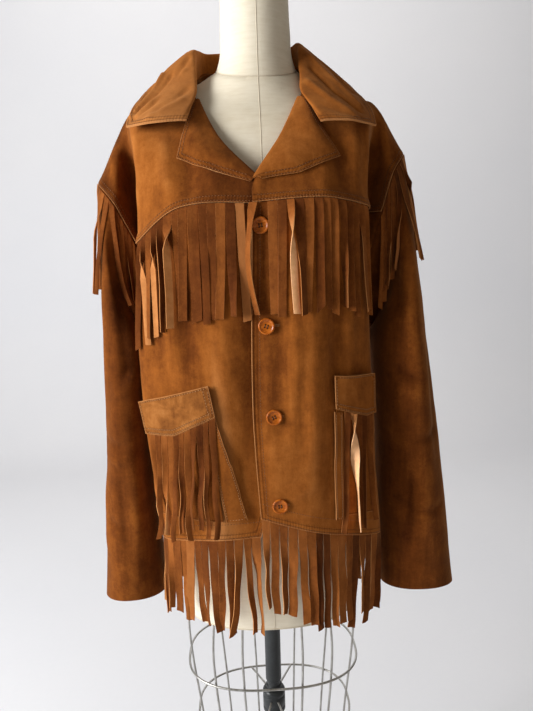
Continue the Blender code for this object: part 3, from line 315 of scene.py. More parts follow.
# folds: height above the cloth (below when negative), width, then the places x, z that it runs through
folds = {
    "front": (
        # the shoulders' ridges and valleys
        (3.2, 6, ((-178, 1476), (-173, 1440), (-170, 1400), (-172, 1350), (-176, 1305))),
        (-5.5, 13, ((-197, 1452), (-193, 1415), (-188, 1370), (-186, 1330))),
        (4.5, 7, ((-214, 1446), (-212, 1415), (-214, 1385), (-212, 1352))),
        (-3.0, 8, ((-226, 1418), (-227, 1392), (-222, 1370))),
        (3.0, 6, ((154, 1482), (149, 1440), (147, 1400), (147, 1345))),
        (-5.0, 12, ((176, 1462), (173, 1425), (169, 1385), (167, 1350))),
        (4.5, 7, ((186, 1478), (190, 1440), (194, 1405), (192, 1378))),
        (-3.0, 8, ((204, 1440), (205, 1415), (202, 1396))),
        (4.0, 13, ((-134, 1462), (-130, 1410), (-128, 1345))),
        (-4.2, 12, ((-100, 1440), (-98, 1395), (-98, 1335))),
        (2.4, 12, ((-66, 1400), (-62, 1380), (-60, 1345))),
        (-2.4, 8, ((-82, 1412), (-66, 1398), (-48, 1386))),
        (2.6, 10, ((131, 1462), (128, 1420), (130, 1350))),
        (-3.0, 10, ((112, 1440), (110, 1400), (108, 1350))),
        (2.6, 12, ((84, 1410), (82, 1390), (80, 1345))),
        # hanging folds of the right front, which dips toward the layer over it
        (-8.0, 16, ((-2, 1420), (-10, 1330), (-14, 1250), (-17, 1170), (-19, 1050), (-22, 960), (-28, 820))),
        (3.6, 11, ((-134, 1250), (-133, 1170), (-130, 1110))),
        (-3.4, 13, ((-112, 1262), (-110, 1170), (-106, 1104))),
        (3.6, 15, ((-66, 1262), (-62, 1170), (-62, 1090), (-64, 980))),
        (-3.4, 10, ((-44, 1020), (-46, 960), (-46, 915))),
        # the left front
        (-5.0, 14, ((12, 1345), (14, 1250), (13, 1170), (13, 1035), (10, 880))),
        (4.2, 16, ((66, 1262), (65, 1170), (62, 1040), (60, 900))),
        (-4.6, 11, ((98, 1262), (97, 1170), (90, 1090), (86, 1050))),
        (4.0, 8, ((117, 1240), (116, 1166), (119, 1108))),
        (-3.0, 10, ((84, 1000), (84, 950), (82, 905))),
        (2.6, 8, ((36, 1215), (38, 1140), (36, 1070))),
        (-2.4, 8, ((44, 1130), (46, 1050), (44, 980))),
        # the left front's edge, rolled a little outward below the lapel
        (3.6, 4.5, ((-1, 1398), (-5, 1378), (-9, 1355), (-11, 1330))),
        (-2.0, 3.5, ((-10, 1390), (-14, 1373), (-16, 1352), (-17, 1330))),
        # short drags toward the buttons
        (-1.8, 7, ((8, 1186), (34, 1194), (62, 1206))),
        (1.4, 7, ((14, 1170), (40, 1172), (66, 1166))),
        (-1.8, 7, ((14, 1050), (38, 1040), (66, 1032))),
        (1.4, 7, ((20, 926), (44, 938), (72, 952))),
        (-1.6, 7, ((-24, 1178), (-50, 1184), (-84, 1196))),
        (-1.4, 7, ((-22, 1050), (-46, 1062), (-70, 1082))),
        # sleeves
        (-5.0, 12, ((-212, 1290), (-214, 1220), (-206, 1140), (-212, 1060))),
        (3.6, 12, ((-236, 1290), (-236, 1210), (-238, 1120), (-246, 1020))),
        (-4.0, 14, ((-222, 1010), (-230, 940), (-226, 860), (-230, 780))),
        (3.6, 12, ((-204, 1000), (-206, 900), (-204, 800))),
        (3.4, 12, ((-250, 960), (-256, 880), (-258, 790))),
        (-3.4, 8, ((-190, 1130), (-206, 1112), (-232, 1102))),
        (2.6, 8, ((-192, 1104), (-210, 1088), (-234, 1080))),
        (-3.2, 8, ((-250, 1010), (-228, 1000), (-202, 1006))),
        (2.4, 8, ((-252, 984), (-230, 976), (-206, 984))),
        (-2.6, 8, ((-256, 880), (-236, 866), (-214, 866))),
        (3.8, 14, ((214, 1330), (220, 1240), (222, 1150), (232, 1060))),
        (-5.0, 13, ((196, 1290), (200, 1210), (204, 1120), (210, 1020))),
        (-4.2, 14, ((246, 1180), (254, 1090), (262, 1000), (270, 900))),
        (3.6, 14, ((236, 980), (244, 890), (250, 800))),
        (-3.6, 11, ((216, 960), (220, 880), (224, 790))),
        (-3.4, 8, ((192, 1110), (214, 1090), (240, 1084))),
        (2.6, 8, ((194, 1084), (216, 1066), (244, 1060))),
        (-3.0, 8, ((270, 1004), (246, 990), (214, 994))),
        (-2.6, 8, ((282, 880), (258, 868), (230, 872))),
    ),
    "back": (
        (-4.3, 14, ((-110, 1180), (-112, 1090), (-106, 1000))),
        (4.1, 16, ((-74, 1190), (-78, 1080), (-72, 960))),
        (-4.1, 15, ((-38, 1180), (-34, 1070), (-40, 960))),
        (3.5, 17, ((4, 1190), (2, 1080), (6, 950))),
        (-4.1, 15, ((42, 1190), (44, 1080), (40, 960))),
        (3.8, 15, ((80, 1180), (78, 1090), (84, 990))),
        (-4.1, 13, ((112, 1170), (110, 1080), (116, 980))),
        (-3.2, 13, ((-90, 1470), (-96, 1410), (-92, 1340))),
        (3.0, 14, ((-60, 1450), (-58, 1390), (-64, 1330))),
        (-2.4, 11, ((-14, 1490), (-12, 1430), (-12, 1370))),
        (-3.2, 13, ((70, 1470), (76, 1410), (72, 1350))),
        (3.0, 14, ((44, 1450), (40, 1390), (46, 1330))),
        (-4.9, 13, ((-214, 1280), (-210, 1200), (-206, 1120), (-214, 1040))),
        (3.8, 14, ((-236, 1280), (-238, 1180), (-244, 1060))),
        (-4.1, 13, ((-226, 1000), (-232, 900), (-228, 800))),
        (-3.2, 9, ((-190, 1150), (-212, 1130), (-236, 1122))),
        (-3.2, 9, ((-192, 1030), (-216, 1016), (-244, 1022))),
        (-4.9, 13, ((200, 1290), (204, 1200), (208, 1110), (216, 1010))),
        (3.8, 14, ((222, 1300), (230, 1190), (242, 1070))),
        (-4.1, 13, ((250, 1000), (258, 900), (266, 800))),
        (-3.2, 9, ((188, 1150), (210, 1128), (238, 1116))),
        (-3.2, 9, ((208, 1020), (234, 1004), (262, 1010))),
    ),
}
pressed = {
    "endReach": 0.35,  # a fold fades over this share of its length
    "endHeight": 0.12,  # and this share of its height is left at its ends
    "waves": ((1.3, 0.085, 1), (0.5, 0.028, 2)),  # fine unevenness: height in millimetres, size, seed
    "shade": 0.6,  # how much a fold of this height changes the tone, painting shade into its trough and light onto its ridge, and the most that a ridge does
    "shadeHeight": 0.005,
    "ridgeMost": 0.6,
}
print("skin laid out")


def toLine(points, stops):
    # how far each point is from the line through the stops, and where along it, as a share
    nearest, along = np.full(len(points), 9.0), np.zeros(len(points))
    run = gone(stops)
    for start, stop, before, after in zip(stops[:-1], stops[1:], run[:-1], run[1:]):
        t = np.clip(((points - start) @ (stop - start)) / (after - before) ** 2, 0, 1)
        away = np.linalg.norm(points - start - t[:, None] * (stop - start), axis=1)
        closer = away < nearest
        nearest[closer] = away[closer]
        along[closer] = (before + t[closer] * (after - before)) / run[-1]
    return nearest, along


def foldHeights(points, tree):
    total, low = np.zeros(len(points)), pressed["endHeight"]
    for side, way in (("front", -1), ("back", 1)):
        for height, width, line in folds[side]:
            stops = np.array([onCloth(tree, x * mm, z * mm, 0, way) for x, z in line])
            nearest, along = toLine(points, stops)
            full = low + (1 - low) * fade(np.minimum(along, 1 - along), pressed["endReach"])
            total += height * mm * np.exp(-((nearest / (width * mm)) ** 2)) * full
    return total


def drift(points, size, seed):
    # slow unevenness over the points
    shift = Vector((seed * 3.1, seed * 1.7, seed * 2.3))
    return np.array([noise.noise(Vector(p) / size + shift) for p in points])


def runLengths(grid, axis):
    steps = np.linalg.norm(np.diff(grid, axis=axis), axis=2)
    zeros = np.zeros((1, grid.shape[1])) if axis == 0 else np.zeros((grid.shape[0], 1))
    return np.concatenate([zeros, np.cumsum(steps, axis=axis)], axis=axis)


def edgeWays(panel):
    # how far each point is from each of the edges
    down = runLengths(panel["grid"], 0)
    ways = {"top": down, "foot": down[-1] - down}
    if not panel["closed"]:
        across = runLengths(panel["grid"], 1)
        ways["first"], ways["last"] = across, across[:, -1:] - across
    return ways


form = {
    # sections: height at the side, half width, front depth, back depth, squareness, front slope, back slope
    "torso": (
        (690, 146, 103, 100, 2.3, 0, 0), (740, 149, 108, 103, 2.3, 0, 0), (830, 149, 108, 103, 2.3, 0, 0),
        (930, 140, 104, 96, 2.2, 0, 0), (1050, 118, 96, 80, 2.1, 0, 0), (1150, 126, 108, 84, 2.2, 0, 0),
        (1240, 140, 121, 90, 2.3, 0, 0), (1320, 150, 121, 92, 2.4, 0, 0), (1390, 159, 117, 92, 2.4, 0.25, 0),
        (1435, 164, 113, 90, 2.4, 0.50, 0), (1468, 163, 109, 88, 2.4, 0.70, -0.05),
        (1493, 152, 102, 78, 2.3, 0.80, -0.10), (1512.5, 125, 88, 70, 2.1, 0.58, -0.08),
        (1526, 90, 73, 58, 2.05, 0.48, 0.0), (1544.4, 59, 60, 50, 2.0, 0.36, 0.20),
    ),
    "neck": (
        (1545.2, 59, 60, 50, 2, 0.36, 0.20), (1560, 54, 56, 48, 2, 0.28, 0.24),
        (1595, 51.5, 53, 48, 2, 0.10, 0.10), (1662, 49, 50, 48, 2, 0, 0),
    ),
    # the cap on the neck: height, and its size against the neck's
    "cap": ((1662.4, 0.985), (1663, 1.0), (1669.1, 1.0), (1671.6, 0.985), (1674.1, 0.95), (1676.3, 0.87),
            (1677.6, 0.76), (1678.1, 0.62)),
    "capSize": (49, 50, 48),  # half width, front and back
    "sides": 112,
    "torsoStep": 9,
    "neckStep": 6,
    "seam": 0.0004,  # the seams' thickness down the form, round its neck and round its foot
    "neckSeam": 0.00075,
    "footEdge": 0.0013,
}


def ovalRing(height, halfWidth, front, back, squareness, frontSlope, backSlope, sides):
    turn = np.linspace(0, 2 * math.pi, sides, endpoint=False)
    c, s = np.cos(turn), np.sin(turn)
    x = halfWidth * np.sign(c) * np.abs(c) ** (2 / squareness)
    y = np.where(s > 0, back, front) * np.sign(s) * np.abs(s) ** (2 / squareness)
    return np.stack([x, y, height + np.where(s > 0, backSlope, frontSlope) * y], axis=1) * mm


def formGrid(name, step):
    # smooth rings through the sections, a step apart
    rows = np.array(form[name], float)
    heights = np.concatenate([[0], np.cumsum(np.hypot(np.diff(rows[:, 0]), np.diff(rows[:, 1])))])
    places = np.linspace(0, heights[-1], int(heights[-1] / step) + 1)
    return np.array([ovalRing(*row, form["sides"]) for row in curveWeights(heights, places) @ rows])


torsoPanel = roundPanel(formGrid("torso", form["torsoStep"]))
neckPanel = roundPanel(formGrid("neck", form["neckStep"]))
formTree = quadTree([(torsoPanel["grid"][:, ::-1], True), (neckPanel["grid"][:, ::-1], True)])


def standOff(points, normals, need):
    # how far each point must move along its normal to stay clear of the form
    extra = np.zeros(len(points))
    for i, (point, normal) in enumerate(zip(points, normals)):
        place, out, _, _ = formTree.find_nearest(Vector(point), 0.03)
        if place is None:
            continue
        outward = Vector((place.x, place.y, 0)).normalized()
        if out.dot(outward) < 0:
            out = -out
        height = (Vector(point) - place).dot(out)
        along = max(abs(Vector(normal).dot(out)), 0.5)
        extra[i] = max(0.0, (need - height) / along)
    return extra


skinTree = quadTree([(panel["grid"], panel["closed"]) for panel in skin.values()])
seams = {
    "right": ("top", "last"), "left": ("top", "last"), "back": ("top", "first", "last"),
    "rightSleeve": ("top",), "leftSleeve": ("top",),
}
for name, panel in skin.items():
    shape = panel["grid"].shape
    points, normals = panel["grid"].reshape(-1, 3), panel["normals"].reshape(-1, 3)
    height = foldHeights(points, skinTree)
    height += sum(high * mm * drift(points, size, seed) for high, size, seed in pressed["waves"])
    ways = edgeWays(panel)
    nearest = np.min([np.broadcast_to(ways[edge], shape[:2]) for edge in seams[name]], axis=0).reshape(-1)
    height -= cloth["seamDip"] * np.exp(-((nearest / cloth["seamReach"]) ** 2))
    height += standOff(points + normals * height[:, None], normals, cloth["clearOfForm"])
    panel["grid"] = (points + normals * height[:, None]).reshape(shape)
    # painted shade darkens the folds' troughs and painted light lightens their ridges
    depth = np.clip(height / pressed["shadeHeight"], -1, pressed["ridgeMost"])
    panel["tone"] = pressed["shade"] * depth.reshape(shape[:2])
print("folds pressed in")


def drawnIn(grid, closed, gap):
    # the same surface with its edges drawn back by the gap
    grid = grid.copy()

    def pull(edge, inner):
        return edge + unit(inner - edge) * gap

    grid[0], grid[-1] = pull(grid[0], grid[1]), pull(grid[-1], grid[-2])
    if not closed:
        grid[:, 0], grid[:, -1] = pull(grid[:, 0], grid[:, 1]), pull(grid[:, -1], grid[:, -2])
    return grid


def gridMesh(bm, grid, normals, closed, values):
    # a bmesh grid laid over the points, with its UV map in metres and its float attributes
    rows, columns = grid.shape[:2]
    wide = columns + 1 if closed else columns
    layers = {key: bm.verts.layers.float.get(key) or bm.verts.layers.float.new(key) for key in values}
    uv = bm.loops.layers.uv.get("cut") or bm.loops.layers.uv.new("cut")
    made = bmesh.ops.create_grid(bm, x_segments=wide - 1, y_segments=rows - 1, size=1)["verts"]
    across, down = runLengths(grid, 1), runLengths(grid, 0)
    places, faces = {}, set()
    for index, vert in enumerate(made):
        v, u = divmod(index, wide)
        w = u % columns
        vert.co = grid[v, w]
        seamStep = float(np.linalg.norm(grid[v, 0] - grid[v, -1])) if u == columns else 0.0
        places[vert] = (float(across[v, w if u < columns else -1]) + seamStep, -float(down[v, w]))
        for key, layer in layers.items():
            vert[layer] = float(values[key][v, w])
        faces.update(vert.link_faces)
    for face in faces:
        for loop in face.loops:
            loop[uv].uv = places[loop.vert]
    middle = made[(rows // 2) * wide + columns // 2]
    middle.link_faces[0].normal_update()
    if middle.link_faces[0].normal.dot(Vector(normals[rows // 2, columns // 2])) < 0:
        bmesh.ops.reverse_faces(bm, faces=list(faces))
    if closed:
        bmesh.ops.remove_doubles(bm, verts=made, dist=1e-6)


def addBlank(name, bm):
    mesh = bpy.data.meshes.new(name)
    bm.to_mesh(mesh)
    bm.free()
    made = bpy.data.objects.new(name, mesh)
    bpy.context.scene.collection.objects.link(made)
    return made


def addMesh(name, bm, materials, nodes=(), sharp=None):
    # a finished piece on the one body, which stands for the nodes; edges sharper than the angle stay sharp
    made = addBlank(name, bm)
    made.data.shade_smooth()
    for material in materials:
        made.data.materials.append(material)
    if sharp:
        made.data.set_sharp_from_angle(angle=math.radians(sharp))
    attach(made, "root")
    if nodes:
        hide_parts(*nodes)
    return made


def wallAndEdge(made, wall, edge=0.0004, flesh=False):
    # gives a sheet its thickness and soft edges; flesh puts the second material on its back and rim
    solid = made.modifiers.new("wall", "SOLIDIFY")
    solid.thickness, solid.offset = wall, 0
    if flesh:
        solid.material_offset = solid.material_offset_rim = 1
    bevel = made.modifiers.new("edge", "BEVEL")
    bevel.width, bevel.segments, bevel.limit_method, bevel.angle_limit = edge, 2, "ANGLE", math.radians(55)
    bevel.harden_normals = True


def clothPiece(name, panel, wall, material, node, stitched=(), double=None, tone=0.0):
    # a sheet, with how far it is from the edges that are stitched once and twice
    ways, shape = edgeWays(panel), panel["grid"].shape[:2]
    far = np.full(shape, cloth["far"])
    inset, second = (np.min([far] + [np.broadcast_to(ways[edge], shape) for edge in edges], axis=0)
                     for edges in (stitched, stitched if double is None else double))
    values = {"inset": inset, "second": second, "tone": np.full(shape, tone) + panel.get("tone", 0.0)}
    bm = bmesh.new()
    grid = drawnIn(panel["grid"], panel["closed"], cloth["gap"])
    gridMesh(bm, grid, panel["normals"], panel["closed"], values)
    made = addMesh(name, bm, [material], [node])
    wallAndEdge(made, wall)


class Finish:
    # a node material put together in short steps
    def __init__(self, name, roughness, metallic=0.0, sheen=0.0, sheenTint=(1, 1, 1), coat=0.0,
                 specular=0.5):
        self.material = bpy.data.materials.new(name)
        self.material.use_nodes = True
        self.tree = self.material.node_tree
        self.shader = self.tree.nodes["Principled BSDF"]
        for socket, value in (
            ("Roughness", roughness), ("Metallic", metallic), ("Sheen Weight", sheen),
            ("Sheen Roughness", 0.45), ("Sheen Tint", (*sheenTint, 1)), ("Coat Weight", coat),
            ("Coat Roughness", 0.12), ("Specular IOR Level", specular),
        ):
            self.shader.inputs[socket].default_value = value
        self.bumpEnd = None

    def node(self, kind, **values):
        made = self.tree.nodes.new(kind)
        for key, value in values.items():
            if hasattr(made, key):
                setattr(made, key, value)
            else:
                made.inputs[key.replace("_", " ")].default_value = value
        return made

    def link(self, source, target):
        self.tree.links.new(source, target)

    def place(self, scale=(1, 1, 1), source="Object"):
        coordinates, mapping = self.node("ShaderNodeTexCoord"), self.node("ShaderNodeMapping")
        mapping.inputs["Scale"].default_value = scale
        self.link(coordinates.outputs[source], mapping.inputs["Vector"])
        return mapping.outputs["Vector"]

    def cloud(self, place, size, detail=4, rough=0.6, distort=0.0):
        made = self.node("ShaderNodeTexNoise", Scale=size, Detail=detail, Roughness=rough, Distortion=distort)
        self.link(place, made.inputs["Vector"])
        return made.outputs["Fac"]

    def bands(self, place, way, size, distort, detail):
        made = self.node("ShaderNodeTexWave", wave_type="BANDS", bands_direction=way, Scale=size,
                         Distortion=distort, Detail=detail)
        self.link(place, made.inputs["Vector"])
        return made.outputs["Fac"]

    def sum(self, *parts, base=0.0):
        # base plus each source times its share
        last = None
        for source, share in parts:
            made = self.node("ShaderNodeMath", operation="MULTIPLY_ADD")
            self.link(source, made.inputs[0])
            made.inputs[1].default_value = share
            if last is None:
                made.inputs[2].default_value = base
            else:
                self.link(last, made.inputs[2])
            last = made.outputs[0]
        return last

    def attribute(self, name):
        return self.node("ShaderNodeAttribute", attribute_name=name).outputs["Fac"]

    def fitted(self, source, low, high, toLow=0.0, toHigh=1.0, smooth=True):
        made = self.node("ShaderNodeMapRange", interpolation_type="SMOOTHSTEP" if smooth else "LINEAR")
        for socket, value in (("From Min", low), ("From Max", high), ("To Min", toLow), ("To Max", toHigh)):
            made.inputs[socket].default_value = value
        self.link(source, made.inputs["Value"])
        return made.outputs["Result"]

    def ramp(self, source, stops):
        made = self.node("ShaderNodeValToRGB")
        ends = made.color_ramp.elements
        while len(ends) < len(stops):
            ends.new(0.5)
        for element, (position, colour) in zip(ends, stops):
            element.position, element.color = position, (*colour, 1)
        self.link(source, made.inputs["Fac"])
        return made.outputs["Color"]

    def mix(self, factor, first, second, kind="MIX"):
        made = self.node("ShaderNodeMix", data_type="RGBA", blend_type=kind)
        for source, socket in ((factor, 0), (first, 6), (second, 7)):
            if isinstance(source, (int, float)):
                made.inputs[socket].default_value = source
            elif isinstance(source, tuple):
                made.inputs[socket].default_value = (*source, 1)
            else:
                self.link(source, made.inputs[socket])
        return made.outputs[2]

    def bump(self, source, strength, distance):
        made = self.node("ShaderNodeBump", Strength=strength, Distance=distance)
        self.link(source, made.inputs["Height"])
        if self.bumpEnd:
            self.link(self.bumpEnd, made.inputs["Normal"])
        self.bumpEnd = made.outputs["Normal"]

    def done(self, colour, roughness=None):
        self.link(colour, self.shader.inputs["Base Color"])
        if roughness:
            self.link(roughness, self.shader.inputs["Roughness"])
        if self.bumpEnd:
            self.link(self.bumpEnd, self.shader.inputs["Normal"])
        return self.material


suedeColours = {
    "dark": (0.052, 0.0115, 0.002), "shade": (0.128, 0.034, 0.0055), "middle": (0.245, 0.073, 0.0115),
    "light": (0.415, 0.145, 0.030), "worn": (0.56, 0.27, 0.105),
}


def suede(name, lighten=0.0, tint=(1, 1, 1), patchy=0.0):
    # napped suede; its inset and second attributes tell how far the stitched edges are
    made = Finish(name, 0.94, sheen=0.27, sheenTint=(1.0, 0.52, 0.21), specular=0.04)
    place = made.place()
    clouds = made.cloud(made.place((10, 10, 3.6)), 1, 3, 0.55, 0.5)
    mottle = made.cloud(place, 38, 6, 0.68)
    streaks = made.cloud(made.place((90, 90, 11)), 1, 4, 0.6)
    patches = made.cloud(place, 23, 4, 0.6, 1.2)
    fuzz = made.cloud(place, 520, 3, 0.7)
    nap = made.cloud(place, 160, 5, 0.7)
    # the tone attribute carries the cloth's own tone and also painted light and shade, from the folds, the
    # pieces and the tone shifts
    tone = made.attribute("tone")
    level = made.sum((clouds, 0.34), (mottle, 0.31), (streaks, 0.25), (fuzz, 0.12), (tone, 0.16),
                     (patches, 0.1 + patchy), (nap, 0.18), base=-0.165 + lighten - patchy / 2)
    c = suedeColours
    stops = ((0.18, c["dark"]), (0.36, c["shade"]), (0.52, c["middle"]), (0.78, c["light"]))
    colour = made.ramp(level, stops)
    if tint != (1, 1, 1):
        colour = made.mix(1.0, colour, tint, "MULTIPLY")
    # where the tone runs high the worn tan is mixed in: worn patches, and paler painted light where the tone
    # holds painted light
    colour = made.mix(made.fitted(tone, 0.5, 1.5, 0, 0.42), colour, c["worn"])
    inset = made.attribute("inset")
    worn = made.sum((made.fitted(inset, 0.0003, 0.0014, 0.55, 0.0), 1.0), (mottle, -0.35), base=0.1)
    colour = made.mix(made.fitted(worn, 0, 1, 0, 1, False), colour, c["worn"])
    # the stitch grooves are darkened as painted shade in them, and pressed in by the bump
    grooves = []
    for way, at in zip((inset, made.attribute("second")), stitchRows):
        near = made.node("ShaderNodeMath", operation="COMPARE")
        made.link(way, near.inputs[0])
        near.inputs[1].default_value, near.inputs[2].default_value = at, 0.0010
        grooves.append(near.outputs[0])
    groove = made.sum(*[(g, 1.0) for g in grooves])
    colour = made.mix(made.fitted(groove, 0, 1, 0, 0.42), colour, c["dark"])
    made.bump(made.sum((groove, -1.0)), 0.6, 0.0008)
    # puckers between the stitches, along the seams
    pulled = made.place(source="UV")
    waves = []
    for way in ("X", "Y"):
        waves.append(made.bands(pulled, way, 74.8, 0.9, 2.0))
    pucker = made.node("ShaderNodeMath", operation="MULTIPLY")
    made.link(made.sum((waves[0], 0.5), (waves[1], 0.5)), pucker.inputs[0])
    made.link(made.fitted(made.attribute("second"), 0.0095, 0.0125, 1.0, 0.0), pucker.inputs[1])
    made.bump(pucker.outputs[0], 0.45, 0.0009)
    made.bump(mottle, 0.34, 0.0016)
    made.bump(nap, 0.4, 0.0008)
    made.bump(fuzz, 0.45, 0.0004)
    return made.done(colour, made.fitted(mottle, 0.3, 0.7, 0.9, 0.98))


def fleshSide():
    made = Finish("flesh side", 0.9, sheen=0.08, sheenTint=(1.0, 0.7, 0.45), specular=0.06)
    place = made.place()
    level = made.sum((made.cloud(place, 14, 4), 0.5), (made.cloud(place, 120, 5, 0.7), 0.4),
                     (made.attribute("tone"), 0.25))
    colour = made.ramp(level, ((0.2, (0.31, 0.110, 0.030)), (0.45, (0.49, 0.198, 0.062)),
                               (0.75, (0.70, 0.34, 0.125)), (1.0, (0.95, 0.53, 0.27))))
    made.bump(made.cloud(place, 700, 3), 0.3, 0.0003)
    return made.done(colour)


def linen():
    made = Finish("linen", 0.88, sheen=0.08, specular=0.25)
    place = made.place()
    weave = made.sum(*[(made.bands(place, way, 210, 1.2, 2.0), 0.5) for way in ("X", "Z")])
    slubs = made.cloud(made.place((40, 40, 260)), 1, 3)
    age = made.cloud(place, 5, 4)
    level = made.sum((weave, 0.22), (slubs, 0.28), (age, 0.55))
    colour = made.ramp(level, ((0.28, (0.55, 0.47, 0.33)), (0.5, (0.69, 0.62, 0.48)),
                               (0.75, (0.78, 0.73, 0.61))))
    marks = made.fitted(made.cloud(place, 17, 5, 0.7), 0.63, 0.75, 0, 0.25)
    colour = made.mix(marks, colour, (0.45, 0.36, 0.24))
    made.bump(weave, 0.35, 0.0004)
    made.bump(slubs, 0.2, 0.0005)
    return made.done(colour)


def steelWire():
    made = Finish("steel wire", 0.34, metallic=0.92)
    place = made.place()
    level = made.sum((made.cloud(place, 60, 4), 0.6), (made.cloud(made.place((300, 300, 40)), 1), 0.4))
    colour = made.ramp(level, ((0.3, (0.25, 0.235, 0.21)), (0.55, (0.42, 0.41, 0.385)),
                               (0.8, (0.57, 0.57, 0.55))))
    made.bump(made.cloud(place, 420), 0.12, 0.0002)
    return made.done(colour, made.fitted(level, 0.3, 0.7, 0.26, 0.48))


def charcoalPaint():
    made = Finish("charcoal paint", 0.46, coat=0.05, specular=0.3)
    place = made.place()
    level = made.sum((made.cloud(place, 26, 5), 0.6), (made.cloud(place, 300), 0.4))
    colour = made.ramp(level, ((0.3, (0.011, 0.012, 0.013)), (0.7, (0.028, 0.031, 0.032))))
    scuffs = made.fitted(made.cloud(made.place((30, 30, 120)), 1, 6, 0.75), 0.66, 0.78, 0, 0.3)
    colour = made.mix(scuffs, colour, (0.13, 0.13, 0.125))
    made.bump(made.cloud(place, 900, 2), 0.12, 0.0002)
    return made.done(colour, made.fitted(level, 0.3, 0.7, 0.36, 0.52))


def buttonHorn():
    made = Finish("button horn", 0.36, coat=0.04, specular=0.2)
    place = made.place((1, 1, 2.4))
    level = made.sum((made.cloud(place, 75, 4, 0.6, 1.6), 0.75), (made.cloud(place, 320), 0.3))
    colour = made.ramp(level, ((0.3, (0.13, 0.024, 0.002)), (0.52, (0.33, 0.078, 0.005)),
                               (0.75, (0.47, 0.135, 0.011))))
    made.bump(made.cloud(place, 240, 3), 0.08, 0.0002)
    return made.done(colour, made.fitted(level, 0.3, 0.7, 0.2, 0.34))


def threadFinish(name, colour, lighter):
    made = Finish(name, 0.75, sheen=0.1, specular=0.3)
    place = made.place()
    made.bump(made.cloud(place, 1500, 2), 0.4, 0.0002)
    return made.done(made.mix(made.cloud(place, 90), colour, lighter))


stitchRows = (0.0026, 0.0088)  # how far each row of stitches is from the edge
suedeFinish = suede("suede")
trimFinish = suede("trim suede", lighten=0.02)
bandFinish = suede("worn trim suede", lighten=0.08, tint=(1.0, 1.17, 1.6), patchy=0.55)
fringeFinish = suede("fringe suede", lighten=-0.05, tint=(0.98, 1.0, 1.3))
fleshFinish = fleshSide()
linenFinish, wireFinish, paintFinish, hornFinish = linen(), steelWire(), charcoalPaint(), buttonHorn()
seamFinish = threadFinish("linen seam", (0.56, 0.49, 0.37), (0.66, 0.59, 0.46))
socketFinish = threadFinish("socket rim", (0.62, 0.57, 0.47), (0.72, 0.68, 0.58))
threadDark = threadFinish("seam thread", (0.15, 0.052, 0.012), (0.24, 0.092, 0.025))
buttonCord = threadFinish("button cord", (0.035, 0.018, 0.009), (0.075, 0.040, 0.018))
threadPale = threadFinish("trim thread", (0.30, 0.135, 0.045), (0.42, 0.21, 0.08))
print("finishes mixed")


def part(panel, first, last):
    # some rows of a panel
    return {**panel, **{key: panel[key][first:last] for key in ("grid", "normals", "tone")}}


def liftedYoke(panel, ends):
    # the yoke's lower edge lies over the fringe, its armhole edges over the sleeves
    ways = edgeWays(panel)
    lift = cloth["yokeLift"] * (1 - fade(ways["foot"], cloth["yokeReach"]))
    for end in ends:
        lift = np.maximum(lift, cloth["capLift"] * (1 - fade(ways[end], cloth["capReach"])))
    lift = lift * fade(ways["top"] + 0.002, 0.012)
    return {**panel, "grid": panel["grid"] + panel["normals"] * lift[:, :, None]}


body = {}
for side in ("right", "left"):
    body[side + "Yoke"] = liftedYoke(part(skin[side], 0, yokeRow + 1), ("last",))
    body[side + "Front"] = part(skin[side], yokeRow, None)
    body[side + "Sleeve"] = skin[side + "Sleeve"]
body["backYoke"] = liftedYoke(part(skin["back"], 0, yokeRow + 1), ("first", "last"))
body["back"] = part(skin["back"], yokeRow, None)
cuts = {  # the node, the edges that are stitched along, and the tone, which darkens the yokes and the sleeves as painted shade and lightens the fronts a little as painted light
    "rightYoke": ("right_front_yoke", ("foot", "last", "top"), -0.25),
    "leftYoke": ("left_front_yoke", ("foot", "last", "top"), -0.25),
    "backYoke": ("back_yoke", ("foot", "first", "last"), -0.2),
    "rightFront": ("right_front", ("foot", "first"), 0.12),
    "leftFront": ("left_front", ("foot", "first"), 0.12),
    "back": ("back", ("foot",), 0.0),
    "rightSleeve": ("right_sleeve", (), -0.85),
    "leftSleeve": ("left_sleeve", (), -0.85),
}
toneShifts = {  # painted light and shade: the axis that the tone changes along, places there, and their tones; the right yoke is darker in the valley by the sleeve and under the lapel, the fronts lighter low down and darker up high, with a lit band down the right front
    "rightFront": ((2, (0.87, 0.98, 1.13, 1.34), (0.35, 0.4, -0.4, -0.7)),
                   (0, (-0.16, -0.11, -0.08, -0.06, -0.03), (-0.3, -0.2, 0.8, 0.4, 0.0))),
    "rightYoke": ((0, (-0.20, -0.175, -0.13, -0.07, 0.0), (-0.8, 0.6, 0.55, -0.7, -0.8)),),
    "leftFront": ((2, (0.87, 1.05, 1.2, 1.34), (0.4, 0.1, -0.3, -0.5)),),
}
for name, (node, stitched, tone) in cuts.items():
    panel = body[name]
    for axis, places, tones in toneShifts.get(name, ()):
        panel["tone"] = panel["tone"] + np.interp(panel["grid"][..., axis], places, tones)
    clothPiece(name + "Suede", panel, cloth["wall"], suedeFinish, node, stitched, tone=tone)
print("fronts, back and sleeves made")


